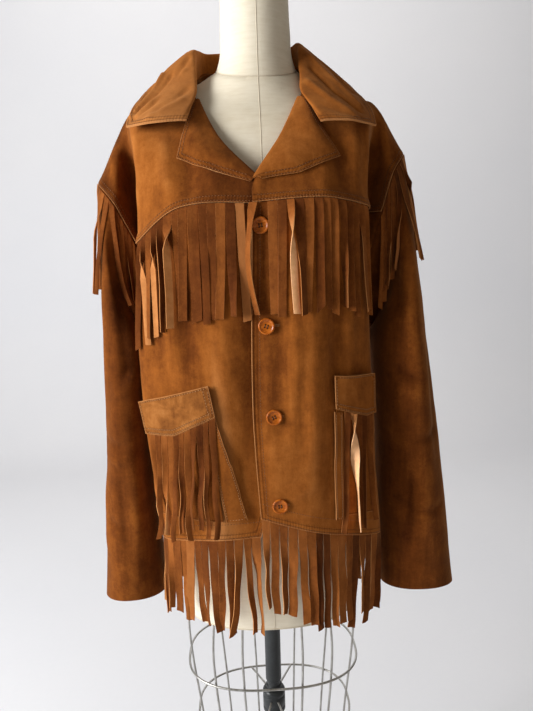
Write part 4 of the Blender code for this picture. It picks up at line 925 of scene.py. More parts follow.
def insetLine(panel, edge, distance, trim=(0.0, 0.0)):
    # points and normals along a line at a distance from one edge, trimmed at both ends
    grid, normals = panel["grid"], panel["normals"]
    if edge in ("foot", "last"):
        grid, normals = grid[::-1, ::-1], normals[::-1, ::-1]
    if edge in ("first", "last"):
        grid, normals = np.swapaxes(grid, 0, 1), np.swapaxes(normals, 0, 1)
    deep = runLengths(grid, 0)
    points, ups = [], []
    for u in range(grid.shape[1]):
        row = int(np.clip(np.searchsorted(deep[:, u], distance) - 1, 0, grid.shape[0] - 2))
        t = (distance - deep[row, u]) / max(deep[row + 1, u] - deep[row, u], 1e-9)
        points.append(grid[row, u] * (1 - t) + grid[row + 1, u] * t)
        ups.append(normals[row, u] * (1 - t) + normals[row + 1, u] * t)
    points, ups = np.array(points), unit(np.array(ups))
    run = gone(points)
    keep = (run >= trim[0]) & (run <= run[-1] - trim[1])
    return points[keep], ups[keep]


stitches = {
    "pitch": 0.0042, "long": 0.0031, "wide": 0.0010, "high": 0.0008,
    "holePitch": 0.0014,  # round a buttonhole
    "reach": 0.0015,  # each stitch lies along the line this far to both sides
    "lean": 0.12,
    "uneven": 5200,  # how fast the lean changes along the line
    # how far the rows are from the edge at the hem, down each front and at the shoulder seam
    "hem": (0.0026, 0.0250), "front": {"right": 0.0026, "left": 0.0115}, "shoulder": 0.0032,
}


def rowsAlong(panel, edges, distances, trim):
    # a line at each distance from each of the edges
    return [insetLine(panel, edge, at, (trim, trim)) for edge in edges for at in distances]


def sew(name, lines, thread, lift, step=stitches["pitch"]):
    # one joined piece of small rounded stitches along the lines
    size = Matrix.Diagonal((stitches["long"] / 2, stitches["wide"] / 2, stitches["high"] / 2, 1))
    bm = bmesh.new()
    for points, ups in lines:
        run = gone(points)
        for at in np.arange(step / 2, run[-1], step):
            start, stop = (between(at + way * stitches["reach"], run, points) for way in (-1, 1))
            up = unit(between(at, run, ups))
            along = unit(stop - start)
            side = unit(np.cross(up, along))
            along = unit(along + side * stitches["lean"] * math.sin(at * stitches["uneven"]))
            turn = Matrix((along, side, up)).transposed().to_4x4()
            where = Matrix.Translation(Vector((start + stop) / 2 + up * lift)) @ turn @ size
            bmesh.ops.create_icosphere(bm, subdivisions=1, radius=1, matrix=where)
    addMesh(name, bm, [thread])


half = cloth["wall"] / 2 + 0.0001  # stitches lie this far above the cloth's middle
for side in ("right", "left"):
    front = body[side + "Front"]
    lines = rowsAlong(body[side + "Yoke"], ("foot", "last"), stitchRows, 0.004)
    lines += rowsAlong(front, ("foot",), stitches["hem"], 0.003)
    lines += [insetLine(front, "first", stitches["front"][side], (0.003, 0.002))]
    sew(side + "FrontStitches", lines, threadDark, half)
lines = rowsAlong(body["backYoke"], ("foot", "first", "last"), stitchRows, 0.004)
width = grids["right"].shape[1]
shoulderLine = insetLine(body["backYoke"], "top", stitches["shoulder"])
lines += [tuple(side[:width - 2] for side in shoulderLine), tuple(side[2 - width:] for side in shoulderLine)]
lines += rowsAlong(body["back"], ("foot",), stitches["hem"], 0.003)
sew("backStitches", lines, threadDark, half)
print("seams stitched")


collar = {
    "wall": 0.0028,
    "stations": (  # round the neck, in millimetres: seam, fold, fall, outer edge
        ((-99, -111, 1457), (-112, -113, 1457), (-140, -110, 1456), (-183, -84, 1455)),
        ((-89, -66, 1496), (-92, -72, 1497), (-134, -76, 1488), (-182, -58, 1475)),
        ((-90, -28, 1522), (-91, -31, 1538), (-132, -34, 1519), (-173, -30, 1498)),
        ((-90, 6, 1539), (-91, 8, 1575), (-124, 8, 1555), (-155, 8, 1520)),
        ((-72, 44, 1556), (-70, 52, 1583), (-92, 74, 1560), (-110, 92, 1522)),
        ((-13, 65, 1556), (-13, 70, 1590), (-13, 94, 1566), (-13, 112, 1522)),
        ((51, 47, 1560), (46, 54, 1587), (68, 76, 1562), (86, 92, 1526)),
        ((66, 8, 1554), (65, 10, 1584), (94, 10, 1562), (128, 8, 1527)),
        ((63, -28, 1532), (64, -31, 1543), (106, -34, 1527), (148, -30, 1503)),
        ((62, -66, 1501), (64, -73, 1499), (108, -76, 1490), (160, -58, 1476)),
        ((79, -117, 1452), (92, -118, 1453), (122, -114, 1453), (161, -84, 1450)),
    ),
    "across": (0, 40, 80, 125),
    "waves": ((0.9, 0.05, 5), (0.35, 0.018, 6)),  # height in millimetres, size, seed
    "seamGap": 0.0021,  # how far its seam stays from the yokes' neck edge
    "dropReach": 0.018,
    "sewnFrom": (1.05, 9.15),  # the stations between which it is sewn on
    "sewnReach": 0.35,
    "toneShifts": ((0, 2.6, 5, 8, 10), (0.95, 0.75, -0.1, 0.1, 0.25)),  # tone at places round the neck
    # creases: height, width, and stops given as station and place across
    "creases": (
        (-3.2, 4.5, ((2.6, 48), (1.9, 66), (1.0, 92), (0.45, 114))),
        (3.4, 4.2, ((2.2, 56), (1.4, 82), (0.62, 110))),
        (-3.4, 3.8, ((2.3, 72), (1.6, 92), (0.85, 115))),
        (3.4, 3.6, ((2.6, 88), (1.7, 104), (0.7, 120))),
        (-2.6, 3.4, ((2.9, 100), (1.9, 112), (0.9, 121))),
        (2.0, 6, ((0.9, 56), (0.6, 74), (0.25, 92))),
        (-2.2, 5, ((1.3, 50), (0.9, 62), (0.5, 84))),
        (-1.6, 6, ((3.3, 50), (3.5, 90))),
        (1.4, 8, ((4.2, 60), (4.4, 100))),
        (-1.5, 8, ((5.2, 62), (5.0, 100))),
        (1.5, 7, ((6.2, 64), (6.5, 98))),
        (-2.6, 6, ((7.1, 52), (7.5, 86), (8.3, 108))),
        (3.0, 4.5, ((7.5, 58), (8.2, 84), (9.1, 108))),
        (-3.0, 4.5, ((8.0, 56), (8.8, 80), (9.45, 104))),
        (2.6, 5, ((8.6, 50), (9.2, 70), (9.75, 92))),
        (-1.4, 7, ((9.5, 52), (9.75, 74), (9.8, 100))),
    ),
}
stations = sorted({*divided(tuple(range(11)), (13,) * 10), 0.04, 0.09, 9.91, 9.96})
collarAcross = spaced(collar["across"], (11, 14, 18), (0, 125))
net = np.array(collar["stations"], float) * mm
flat = surface(net, range(11), stations, collar["across"], collarAcross)
collarPanel = makePanel(flat, np.array((0, 0, 1)))
points = flat.reshape(-1, 3)
heights = sum(high * mm * drift(points, size, seed) for high, size, seed in collar["waves"])
for height, wide, stops in collar["creases"]:
    line = np.array([surface(net, range(11), [s], collar["across"], [a])[0, 0] for s, a in stops])
    heights += height * mm * np.exp(-((toLine(points, line)[0] / (wide * mm)) ** 2))
collarPanel["grid"] = flat + collarPanel["normals"] * heights.reshape(flat.shape[:2])[:, :, None]
collarPanel["tone"] = np.tile(np.interp(stations, *collar["toneShifts"])[:, None], (1, flat.shape[1]))
# its seam comes down to the neck edge of the yokes
yokes = [body[side + "Yoke"]["grid"] for side in ("right", "left")]
neckEdge = [line for yoke in yokes for line in (yoke[0], yoke[:, 0])]
neckEdge = [(line[:-1], line[1:]) for line in (*neckEdge, body["backYoke"]["grid"][0])]
starts, stops = (np.concatenate([pair[k] for pair in neckEdge]) for k in (0, 1))
run = stops - starts
drop = 1 - fade(runLengths(collarPanel["grid"], 1), collar["dropReach"])
low, high = collar["sewnFrom"]
for row, station in enumerate(stations):
    first = collarPanel["grid"][row, 0].copy()
    t = np.clip(((first - starts) * run).sum(axis=1) / np.maximum((run * run).sum(axis=1), 1e-12), 0, 1)
    places = starts + run * t[:, None]
    place = places[np.argmin(np.linalg.norm(places - first, axis=1))]
    way = place + unit(first - place) * collar["seamGap"] - first
    sewn = fade(station - low, collar["sewnReach"]) * fade(high - station, collar["sewnReach"])
    collarPanel["grid"][row] += way * sewn * drop[row][:, None]
clothPiece("collarSuede", collarPanel, collar["wall"], suedeFinish, "collar",
           ("last", "top", "foot"))
lines = [insetLine(collarPanel, "last", at, (at, at)) for at in stitchRows]
lines += [insetLine(collarPanel, edge, at, trim) for at in stitchRows
          for edge, trim in (("top", (0.045, at)), ("foot", (at, 0.045)))]
sew("collarStitches", lines, threadDark, collar["wall"] / 2 + 0.0001)


lapels = {
    # from the top down, x and z in millimetres where each rolls over the front's edge and where it ends
    "right": (((-89, 1491), (-93, 1486)), ((-80, 1469), (-101, 1455)), ((-62, 1438), (-115, 1408)),
              ((-38, 1408), (-63, 1387)), ((-12, 1380), (-18, 1374))),
    "left": (((60, 1491), (67, 1485)), ((50, 1471), (80, 1450)), ((33, 1444), (105, 1407)),
             ((12, 1410), (48, 1384)), ((-10, 1380), (-3, 1377))),
    "wall": 0.0024,
    "rows": 9,  # faces between one row and the next
    "roll": 0.0030,  # radius of the roll, and the angles that it goes through
    "turns": (-90, -60, -30, 0, 30, 60),
    "rise": 0.006,  # how far the middle stands up, and the most of it as a share of the width
    "riseMost": 0.12,
    "lie": 0.0004,  # how far the end lies above the roll's height
    "flap": (0.010, 0.005),  # how far it goes on behind the edge
    "wave": (0.5, 0.04, 8),
    "tone": {"right": -0.4, "left": 0.3},
}
trees = {side: quadTree([(skin[side]["grid"], False)]) for side in ("right", "left")}


def lapelPanel(side):
    # a lapel turned back over its front's edge
    table, edge, ups = lapels[side], skin[side]["grid"][:, 0], skin[side]["normals"][:, 0]
    inner = unit(skin[side]["grid"][:, 3] - edge)
    order = np.argsort(edge[:yokeRow + 1, 2])
    shares = sorted({*np.linspace(0, 1, 17)[1:], 0.03, 0.97, 0.985})
    rows = []
    pairs = [(a, b, k / lapels["rows"])
             for a, b in zip(table[:-1], table[1:]) for k in range(lapels["rows"])]
    for (rollA, edgeA), (rollB, edgeB), t in pairs + [(table[-2], table[-1], 1.0)]:
        rollZ = (rollA[1] * (1 - t) + rollB[1] * t) * mm
        out = [(edgeA[k] * (1 - t) + edgeB[k] * t) * mm for k in (0, 1)]
        start, up, way = (between(rollZ, edge[order, 2], part[order]) for part in (edge, ups, inner))
        up, way = unit(up), unit(way)
        roll, line = lapels["roll"], []
        for flap in lapels["flap"]:
            line.append(start - up * roll + way * flap)
        for turn in np.radians(lapels["turns"]):
            line.append(start - way * roll * math.cos(turn) + up * roll * math.sin(turn))
        width = math.hypot(start[0] - out[0], start[2] - out[1])
        for share in shares:
            x, z = (start[axis] * (1 - share) + end * share for axis, end in zip((0, 2), out))
            rise = min(lapels["rise"], width * lapels["riseMost"]) * math.sin(math.pi * share)
            line.append(onCloth(trees[side], x, z, roll + lapels["lie"] * share + rise))
        rows.append(line)
    panel = makePanel(np.array(rows), toFront)
    high, size, seed = lapels["wave"]
    lift = (high * mm * drift(panel["grid"].reshape(-1, 3), size, seed)).reshape(panel["grid"].shape[:2])
    lift[:, :len(lapels["flap"]) + len(lapels["turns"])] = 0  # the roll keeps its shape
    panel["grid"] = panel["grid"] + panel["normals"] * np.abs(lift)[:, :, None]
    return panel


for side in ("right", "left"):
    panel = lapelPanel(side)
    clothPiece(side + "LapelSuede", panel, lapels["wall"], suedeFinish, side + "_lapel",
               ("last",), tone=lapels["tone"][side])
    lines = [insetLine(panel, "last", at, (at, at)) for at in stitchRows]
    sew(side + "LapelStitches", lines, threadDark, lapels["wall"] / 2 + 0.0001)
print("collar and lapels made")


pockets = {
    "right": {
        "bandTop": ((-184, 1074), (-83, 1104)), "bandFoot": ((-176, 1026), (-134, 1029), (-75, 1060)),
        "borderTop": ((-90, 1052), (-76, 1058)), "borderFoot": ((-68, 901), (-38, 902)),
        "bagFoot": ((-168, 898), (-72, 900)), "outermost": 168,
    },
    "left": {
        "bandTop": ((88, 1108), (152, 1101)), "bandFoot": ((90, 1060), (138, 1041), (154, 1042)),
        "borderTop": ((89, 1056), (101, 1052)), "borderFoot": ((91, 890), (103, 888)),
        "bagFoot": ((105, 892), (158, 884)), "outermost": 146,
    },
    "cornerSlope": 0.5,
    "step": 0.0007,  # air between one layer and the next
    "puff": 0.0004,  # how far a band's middle swells
    "near": 0.02,  # a close row beside each edge, as a share of the patch
    "ripple": (0.5, 26),  # height and size in millimetres
    "tone": {"right": -0.5, "left": 0.4},
}


def blend(a, b, t):
    # the place at a share of the way from a to b
    return tuple(p + (q - p) * t for p, q in zip(a, b))


def patchPoint(side, x, z, lift):
    # lies on the cloth; past the outermost place it stands free, going on as it lay before
    outermost = pockets[side]["outermost"] * mm
    inside = math.copysign(min(abs(x), outermost), x)
    over = abs(x - inside)
    return onCloth(trees[side], inside, z, lift) + np.array((x - inside, over * pockets["cornerSlope"], 0))


def patchPanel(side, corners, lift, rows, columns, puff, seed):
    # a patch on the cloth between four corners, which go round from the top
    topA, topB, footB, footA = corners
    near, (high, size) = pockets["near"], pockets["ripple"]
    vs, us = (sorted({*np.linspace(0, 1, count + 1), near, 1 - near}) for count in (rows, columns))
    grid = []
    for v in vs:
        start, stop = blend(topA, footA, v), blend(topB, footB, v)
        line = []
        for u in us:
            x, z = blend(start, stop, u)
            swell = puff * 16 * u * (1 - u) * v * (1 - v)
            ripple = high * mm * noise.noise(Vector((x, 0, z)) / size + Vector((seed, 0, 0)))
            line.append(patchPoint(side, x * mm, z * mm, lift + swell + ripple))
        grid.append(line)
    return makePanel(np.array(grid), toFront)


bands = {}
layer = cloth["trimWall"] + pockets["step"]
for side in ("right", "left"):
    p = pockets[side]
    right = side == "right"
    top = [blend(*p["bandTop"], share) for share in (0.04, 0.96)]
    lift = cloth["layLift"] + cloth["bagLift"]
    bag = patchPanel(side, (*top, *p["bagFoot"][::-1]), lift, 34, 20, 0.0, 1)
    clothPiece(side + "PocketBag", bag, cloth["trimWall"], suedeFinish, side + "_pocket_bag",
               ("foot",), ())
    border = patchPanel(side, (*p["borderTop"], *p["borderFoot"][::-1]), lift + layer, 30, 6, 0.0, 2)
    clothPiece(side + "PocketBorder", border, cloth["trimWall"], trimFinish, side + "_pocket_border",
               ("first", "last"), ())
    # the band bends at a point, so it is two patches side by side
    low, point, high = p["bandFoot"]
    topPoint = blend(*p["bandTop"], abs(point[0] - low[0]) / abs(high[0] - low[0]))
    first, last = p["bandTop"]
    halves = [patchPanel(side, corners, lift + 2 * layer, 9, 11, pockets["puff"], 3)["grid"]
              for corners in ((first, topPoint, point, low), (topPoint, last, high, point))]
    band = makePanel(np.concatenate([halves[0], halves[1][:, 1:]], axis=1), toFront)
    twice = ("foot", "last") if right else ("foot",)
    clothPiece(side + "PocketBand", band, cloth["trimWall"], bandFinish if right else trimFinish,
               side + "_pocket_band", ("foot", "first", "last", "top"), twice,
               pockets["tone"][side])
    bands[side] = band
    lines = rowsAlong(band, ("foot", "top", "first", "last"), stitchRows[:1], 0.003)
    lines += rowsAlong(band, twice, stitchRows[1:], 0.004)
    lines += rowsAlong(border, ("first", "last", "foot"), stitchRows[:1], 0.002)
    sew(side + "PocketStitches", lines, threadPale, cloth["trimWall"] / 2 + 0.0001)
print("pockets made")


fringe = {
    "wall": 0.0012,
    "edge": 0.00022,
    "down": 13,  # faces down a strip
    "gap": 0.0003,  # between strips, and the least width as a share of the pitch
    "leastWidth": 0.72,
    "uneven": 0.13,  # how unevenly the strips are cut, as a share of the pitch
    "clear": 0.0020,  # from the cloth's middle to a strip's middle
    "lean": 0.022,  # how far strips drift sideways, as a share of their length
    "twistOften": 0.15,
    # turns in radians: of most strips, of odd ones and of those that show their back; where each starts
    # and how long it takes, as shares of the length
    "twistMild": (-0.06, 0.26), "twistOdd": (0.5, 1.3), "twistMost": (2.2, 3.1),
    "twistStart": (0.0, 0.35), "twistReach": (0.25, 0.6),
    "spread": 0.0016,  # how far the odd ones swing out
    "tone": 0.45,  # how much tones, slanted ends and lengths differ
    "slant": 0.0028,
    "lengths": (0.012, 0.010),
    "sway": 0.022,  # slow and quick bends sideways, and turns back and forth
    "ripple": 0.085,
    "turn": 0.22,
    "cup": 0.0006,
    "narrowReach": 0.22,
}
fringeRows = {
    # pitch and random seed; swing, how far the strips stand out; wild, how uneven they hang; narrow, how much
    # thinner they are below the seam; special, what single strips do
    "rightChest": {
        "pitch": 0.0124, "seed": 11,
        "special": {
            0: {"lean": -0.03, "twist": 0.5}, 2: {"lean": -0.04, "twist": 0.9},
            1: {"lean": 0.05, "twist": -2.8, "at": (0.1, 0.3), "tone": -0.4},
            3: {"lean": -0.02, "twist": -2.7, "at": (0.12, 0.3), "tone": -0.5},
            12: {"twist": 0.9, "at": (0.5, 0.4)},
        },
    },
    "leftChest": {
        "pitch": 0.0124, "seed": 23,
        "special": {
            2: {"lean": 0.03, "twist": 2.8, "at": (-0.08, 0.66), "tone": 1.8},
            8: {"twist": 1.3, "at": (0.3, 0.5)}, 11: {"lean": 0.06, "twist": -0.9, "tone": 0.2},
        },
    },
    "back": {"pitch": 0.0126, "seed": 37, "swing": 1.4, "wild": 1.3, "narrow": 0.05},
    "rightSleeve": {"pitch": 0.0118, "seed": 41, "swing": 3.4, "wild": 1.7, "narrow": 0.12},
    "leftSleeve": {"pitch": 0.0118, "seed": 59, "swing": 3.4, "wild": 1.7, "narrow": 0.12},
    "rightPocket": {
        "pitch": 0.0104, "seed": 71, "swing": 3.0, "wild": 2.7, "narrow": 0.12,
        "special": {
            0: {"twist": 2.9, "at": (0.45, 0.35), "tone": 0.5},
            2: {"twist": 2.8, "at": (0.5, 0.35), "tone": 0.5},
        },
    },
    "leftPocket": {
        "pitch": 0.0104, "seed": 83, "swing": 3.0, "wild": 1.5, "narrow": 0.06,
        "special": {
            0: {"tone": -0.5}, 2: {"tone": -0.3}, 3: {"tone": -0.6, "twist": 0.2},
            1: {"twist": 4.85, "at": (-0.27, 1.0), "width": 0.0145, "tone": 2.2, "lean": 0.05},
            4: {"twist": 0.55, "tone": 1.1, "lean": 0.06, "narrow": 0.0},
        },
    },
    "rightHem": {"pitch": 0.0131, "seed": 101, "swing": 1.8, "wild": 2.0, "narrow": 0.09},
    "leftHem": {"pitch": 0.0138, "seed": 113, "swing": 1.8, "wild": 2.0, "narrow": 0.09},
    "backHem": {"pitch": 0.0134, "seed": 127, "swing": 1.8, "wild": 2.0, "narrow": 0.09},
}
# the strip that hangs apart at the left front's edge
edgeStrip = {"length": 0.151, "width": 0.0112, "lean": -0.02, "twist": 0.9, "at": (0.0, 0.2), "swing": 0.0012,
             "tone": 0.35, "slant": 0.001, "narrow": 0.1, "bow": 0.25, "wild": 1.0, "seed": 3.0}
allPanels = [(p["grid"], p["closed"], p["normals"]) for p in skin.values()]
allPanels += [(b["grid"], False, b["normals"]) for b in bands.values()]


def outwardTree(panels):
    # a tree whose faces all point out of the cloth
    ready = []
    for grid, closed, normals in panels:
        v, u = grid.shape[0] // 2, grid.shape[1] // 2
        across, down = grid[v, u + 1] - grid[v, u], grid[v + 1, u] - grid[v, u]
        turned = np.cross(across, down) @ normals[v, u] < 0
        ready.append((grid[:, ::-1] if turned else grid, closed))
    return quadTree(ready)


clothTree = outwardTree(allPanels)
formSolid = outwardTree([(p["grid"], True, p["normals"]) for p in (torsoPanel, neckPanel)])


def keptOff(point, need, tree):
    # moves a point out until it is as far as it needs from the faces behind it
    for _ in range(3):
        place, normal, _, _ = tree.find_nearest(Vector(point), 0.05)
        if place is None:
            return point
        height = (Vector(point) - place).dot(normal)
        if height >= need or height < -0.03:
            return point
        point = point + np.array(normal) * (need - height)
    return point


def stripPath(top, across, tree, cut):
    # where a strip's middle falls from its top, and how far it has turned at each step
    wild, seed, step = cut["wild"], cut["seed"], cut["length"] / fringe["down"]
    line, turns = [np.array(top, float)], []
    for k in range(fringe["down"] + 1):
        share = k / fringe["down"]
        turn = cut["twist"] * float(fade(share - cut["at"][0], cut["at"][1]))
        turn += fringe["turn"] * (wild - 1) * share * math.sin(seed * 1.9 + share * 9)
        turns.append(turn)
        if k == 0:
            continue
        sway = math.sin(seed * 2.7 + share * (4.2 + 2.5 * math.sin(seed))) * fringe["sway"] * wild * share
        sway += math.sin(seed * 4.3 + share * 13) * fringe["ripple"] * (wild - 1) * share
        lean = cut["lean"] * (0.4 + 1.2 * share) + sway - cut["bow"] * math.cos(math.pi * share)
        point = line[-1] + unit(np.array((0, 0, -1.0)) + across * lean) * step
        need = fringe["clear"] + abs(math.sin(turn)) * cut["width"] * 0.5 + cut["swing"] * share**1.3
        point = keptOff(point, need, tree)
        line.append(line[-1] + unit(point - line[-1]) * step)
    return np.array(line), turns


def strip(bm, top, across, out, along, tree, cut):
    # one strip: a narrow grid down its path, kept off what lies behind it
    line, turns = stripPath(top, across, tree, cut)
    width, tone, wild, seed, last = cut["width"], cut["tone"], cut["wild"], cut["seed"], fringe["down"]
    ways = unit(np.gradient(line, axis=0))
    wide, tones = [], []
    cup = fringe["cup"] * (1 + wild) * math.sin(seed * 5.1)
    for k, (place, way, turn) in enumerate(zip(line, ways, turns)):
        share = k / last
        side = unit(across - way * (across @ way))
        front = unit(np.cross(side, way))
        if front @ out < 0:
            front = -front
        turned = side * math.cos(turn) + front * math.sin(turn)
        face = front * math.cos(turn) - side * math.sin(turn)
        breadth = width * (1 - cut["narrow"] * float(fade(share, fringe["narrowReach"])))
        breadth *= (1 - 0.10 * share * (0.5 + 0.5 * math.sin(seed * 3.3))
                    + 0.05 * (wild - 1) * math.sin(seed + share * 9))
        row = []
        for u in (-1, 0, 1):
            point = place + turned * u * breadth / 2 - face * cup * (1 - u * u) * share
            if k == 0:
                point = place + along * u * breadth / 2 / max(along @ across, 0.62)
            if k == last:
                point = point + way * cut["slant"] * u * 0.5
            row.append(point)
        wide.append(row)
        # a very pale strip is so only where it shows its back
        tones.append([tone * (min(abs(turn) / 2, 1) if tone > 1 else 1)] * 3)
    grid = np.array(wide)
    normals = unit(np.cross(grid[:, 2] - grid[:, 0], np.gradient(grid[:, 1], axis=0)))
    normals = np.repeat(normals[:, None], 3, axis=1)
    middle = (last + 1) // 2
    if normals[middle, 1] @ (out * math.cos(turns[middle]) - across * math.sin(turns[middle])) < 0:
        normals = -normals
    far = np.full((last + 1, 3), cloth["far"])
    gridMesh(bm, grid, normals, False, {"inset": far, "second": far, "tone": np.array(tones)})


def fringeRow(name, node, tops, acrosses, outs, lengths, tree=clothTree, loose=()):
    # strips side by side along the top line, and loose ones that hang apart from the rest
    row = {"swing": 1.0, "wild": 1.0, "narrow": 0.0, "special": {}, **fringeRows[name]}
    pitch, wild = row["pitch"], row["wild"]
    rng = np.random.default_rng(row["seed"])
    run, lengths = gone(tops), np.broadcast_to(lengths, len(tops))
    count = max(2, round(run[-1] / pitch))
    bm = bmesh.new()
    edges = np.linspace(0, run[-1], count + 1)
    edges[1:-1] += rng.uniform(-fringe["uneven"], fringe["uneven"], count - 1) * pitch
    for k in range(count):
        at = (edges[k] + edges[k + 1]) / 2
        top, across, out = (between(at, run, part) for part in (tops, acrosses, outs))
        across, out = unit(across), unit(out)
        chord = between(edges[k + 1], run, tops) - between(edges[k], run, tops)
        along = unit(chord)
        along = -along if along @ across < 0 else along
        cut = {"bow": 0.0, "wild": wild, "seed": row["seed"] + k * 1.618,
               "width": max(abs(float(chord @ across)) - fringe["gap"], pitch * fringe["leastWidth"]),
               "lean": float(rng.normal(0, fringe["lean"] * (0.6 + 0.4 * wild))),
               "twist": float(rng.uniform(*fringe["twistMild"]) * wild),
               "at": (float(rng.uniform(*fringe["twistStart"])), float(rng.uniform(*fringe["twistReach"])))}
        kind = rng.random()
        if kind < fringe["twistOften"] * wild:
            cut["twist"] = float(rng.choice((-1, 1)) * rng.uniform(*fringe["twistOdd"]))
        if kind < fringe["twistOften"] * 0.42 * (wild - 0.7):
            cut["twist"] = float(rng.choice((-1, 1)) * rng.uniform(*fringe["twistMost"]))
        cut["swing"] = float(fringe["spread"] * row["swing"] * (0.25 + (k % 2) * 0.5 + rng.random() * 0.8))
        uneven = rng.normal(0, fringe["lengths"][0] + fringe["lengths"][1] * wild)
        cut["length"] = float(np.interp(at, run, lengths) * (1 + uneven))
        cut["tone"] = float(rng.normal(0, fringe["tone"]))
        cut["slant"] = float(rng.normal(0, fringe["slant"]))
        cut["narrow"] = row["narrow"] * float(rng.uniform(0.4, 1.6))
        strip(bm, top, across, out, along, tree, {**cut, **row["special"].get(k, {})})
    for top, across, out, cut in loose:
        strip(bm, top, across, out, across, tree, cut)
    made = addMesh(name + "Fringe", bm, [fringeFinish, fleshFinish], [node])
    wallAndEdge(made, fringe["wall"], fringe["edge"], True)


def seamRun(line, normals, low, high, count=60):
    # points along a seam between two places x
    order = np.argsort(line[:, 0])
    places = np.linspace(low, high, count)
    points, ups = (np.array([between(x, line[order, 0], rows[order]) for x in places])
                   for rows in (line, normals))
    return points, unit(ups)


hangs = {  # in millimetres
    "drop": 0.4,  # how far the strips' tops are below the seam, the pocket's band and the hem's edge
    "pocketDrop": 0.5,
    "hemDrop": 0.6,
    "hemInset": 0.2,
    "chest": {"right": (-174, -27), "left": (4, 146)},  # from and to which x
    "edgeAt": (-15.8, -14.8),
    "chestLong": 151,
    "backLong": 150,
    "backEnds": 24,  # how far the back's row stays from the armholes
    "sleeveLong": 149,
    "sleeveTo": 7.0,  # how far round the armhole, in twentieths
    "pocket": {"right": (-175, -76), "left": (107, 153)},
    "pocketFoot": ((-175, -76, 107), (870, 882, 868)),  # the heights that its strips reach, at places x
    "hem": {  # how long the strips are at places x
        "right": ((-155, 122), (-120, 136), (-70, 150), (-35, 156), (-8, 146)),
        "left": ((-18, 144), (20, 141), (50, 150), (85, 156), (130, 150), (160, 126)),
        "back": ((-155, 136), (-60, 143), (0, 140), (80, 144), (160, 134)),
    },
}
for side in ("right", "left"):
    panel = skin[side]
    line, ups = panel["grid"][yokeRow], panel["normals"][yokeRow]
    tops, outs = seamRun(line, ups, *(x * mm for x in hangs["chest"][side]))
    tops = tops + outs * fringe["clear"] + np.array((0, 0, -hangs["drop"] * mm))
    acrosses = np.tile((1.0, 0, 0), (len(tops), 1))
    loose = []
    if side == "left":
        spots, aways = seamRun(line, ups, *(x * mm for x in hangs["edgeAt"]), 3)
        loose.append((spots[1] + aways[1] * fringe["clear"], acrosses[0], aways[1], edgeStrip))
    fringeRow(side + "Chest", side + "_chest_fringe", tops, acrosses, outs, hangs["chestLong"] * mm,
              loose=loose)

line, ups = skin["back"]["grid"][yokeRow], skin["back"]["normals"][yokeRow]
tops, outs = seamRun(line, ups, line[0, 0] + hangs["backEnds"] * mm, line[-1, 0] - hangs["backEnds"] * mm, 90)
tops = tops + outs * fringe["clear"] + np.array((0, 0, -hangs["drop"] * mm))
fringeRow("back", "back_fringe", tops, unit(np.gradient(tops, axis=0)) * (1, 1, 0), outs,
          hangs["backLong"] * mm)

for side in ("right", "left"):
    sleeve = skin[side + "Sleeve"]
    count = sleeve["grid"].shape[1]
    round20 = np.interp(downPlaces[:underRow + 1], downKnots[:7], roundShares)
    reach = int(np.searchsorted(round20, hangs["sleeveTo"]))
    columns = [k % count for k in range(-reach, reach + 1)]
    tops, outs = sleeve["grid"][1, columns], sleeve["normals"][1, columns]
    tops = tops + outs * fringe["clear"]
    seamWays = unit(np.gradient(tops, axis=0))
    level = unit(np.cross((0, 0, 1.0), outs))
    level *= np.sign((level * seamWays).sum(axis=1))[:, None]
    fringeRow(side + "Sleeve", side + "_sleeve_fringe", tops, unit(level + seamWays * (0.5, 0.5, 0.1)), outs,
              hangs["sleeveLong"] * mm)

places, feet = (np.array(row) * mm for row in hangs["pocketFoot"])
for side in ("right", "left"):
    band = bands[side]
    tops, outs = seamRun(band["grid"][-1], band["normals"][-1], *(x * mm for x in hangs["pocket"][side]), 40)
    tops = tops + np.array((0, 0, -hangs["pocketDrop"] * mm))
    fringeRow(side + "Pocket", side + "_pocket_fringe", tops, np.tile((1.0, 0, 0), (len(tops), 1)), outs,
              tops[:, 2] - np.interp(tops[:, 0], places, feet))

for side, stops in hangs["hem"].items():
    edge, outs = (skin[side][key][-1, 1:-1] for key in ("grid", "normals"))
    tops = edge - outs * hangs["hemInset"] * mm + np.array((0, 0, -hangs["hemDrop"] * mm))
    lengths = np.interp(tops[:, 0], *(np.array(stops).T * mm))
    fringeRow(side + "Hem", side + "_hem_fringe", tops, unit(np.gradient(tops, axis=0) * (1, 1, 0)), outs,
              lengths, formSolid)
print("fringe cut and hung")


buttons = {
    "places": ((-7, 1318), (-3, 1183), (5, 1054), (10, 922)),  # x and z in millimetres
    "radius": 0.0115,
    # share of the radius and height: a raised rim round a dished middle
    "profile": ((0, 0), (0.78, 0), (0.94, 0.0006), (1, 0.0018), (0.985, 0.0029), (0.93, 0.0036),
                (0.86, 0.0038), (0.79, 0.0036), (0.72, 0.0029), (0.66, 0.0025), (0.3, 0.0024), (0, 0.0024)),
    "holes": 0.001872,  # from the middle to each hole, in x and in y
    "holeRadius": 0.0012,
    "lieOn": 0.009,  # it lies on the cloth this far from its middle
    "tilt": (0.15, -0.35, 0.4, 0.1),
    "lift": 0.0014,  # how far its back is above the cloth
    "thread": (0.0006, 0.0023, 0.0005),
    "threadHeight": 0.00245,
    "holeEnds": (13, 19, 14, 13.5),  # how far to the side of its button each buttonhole shows
    "holeStart": 0.007,
    "holeWide": 0.0011,
}


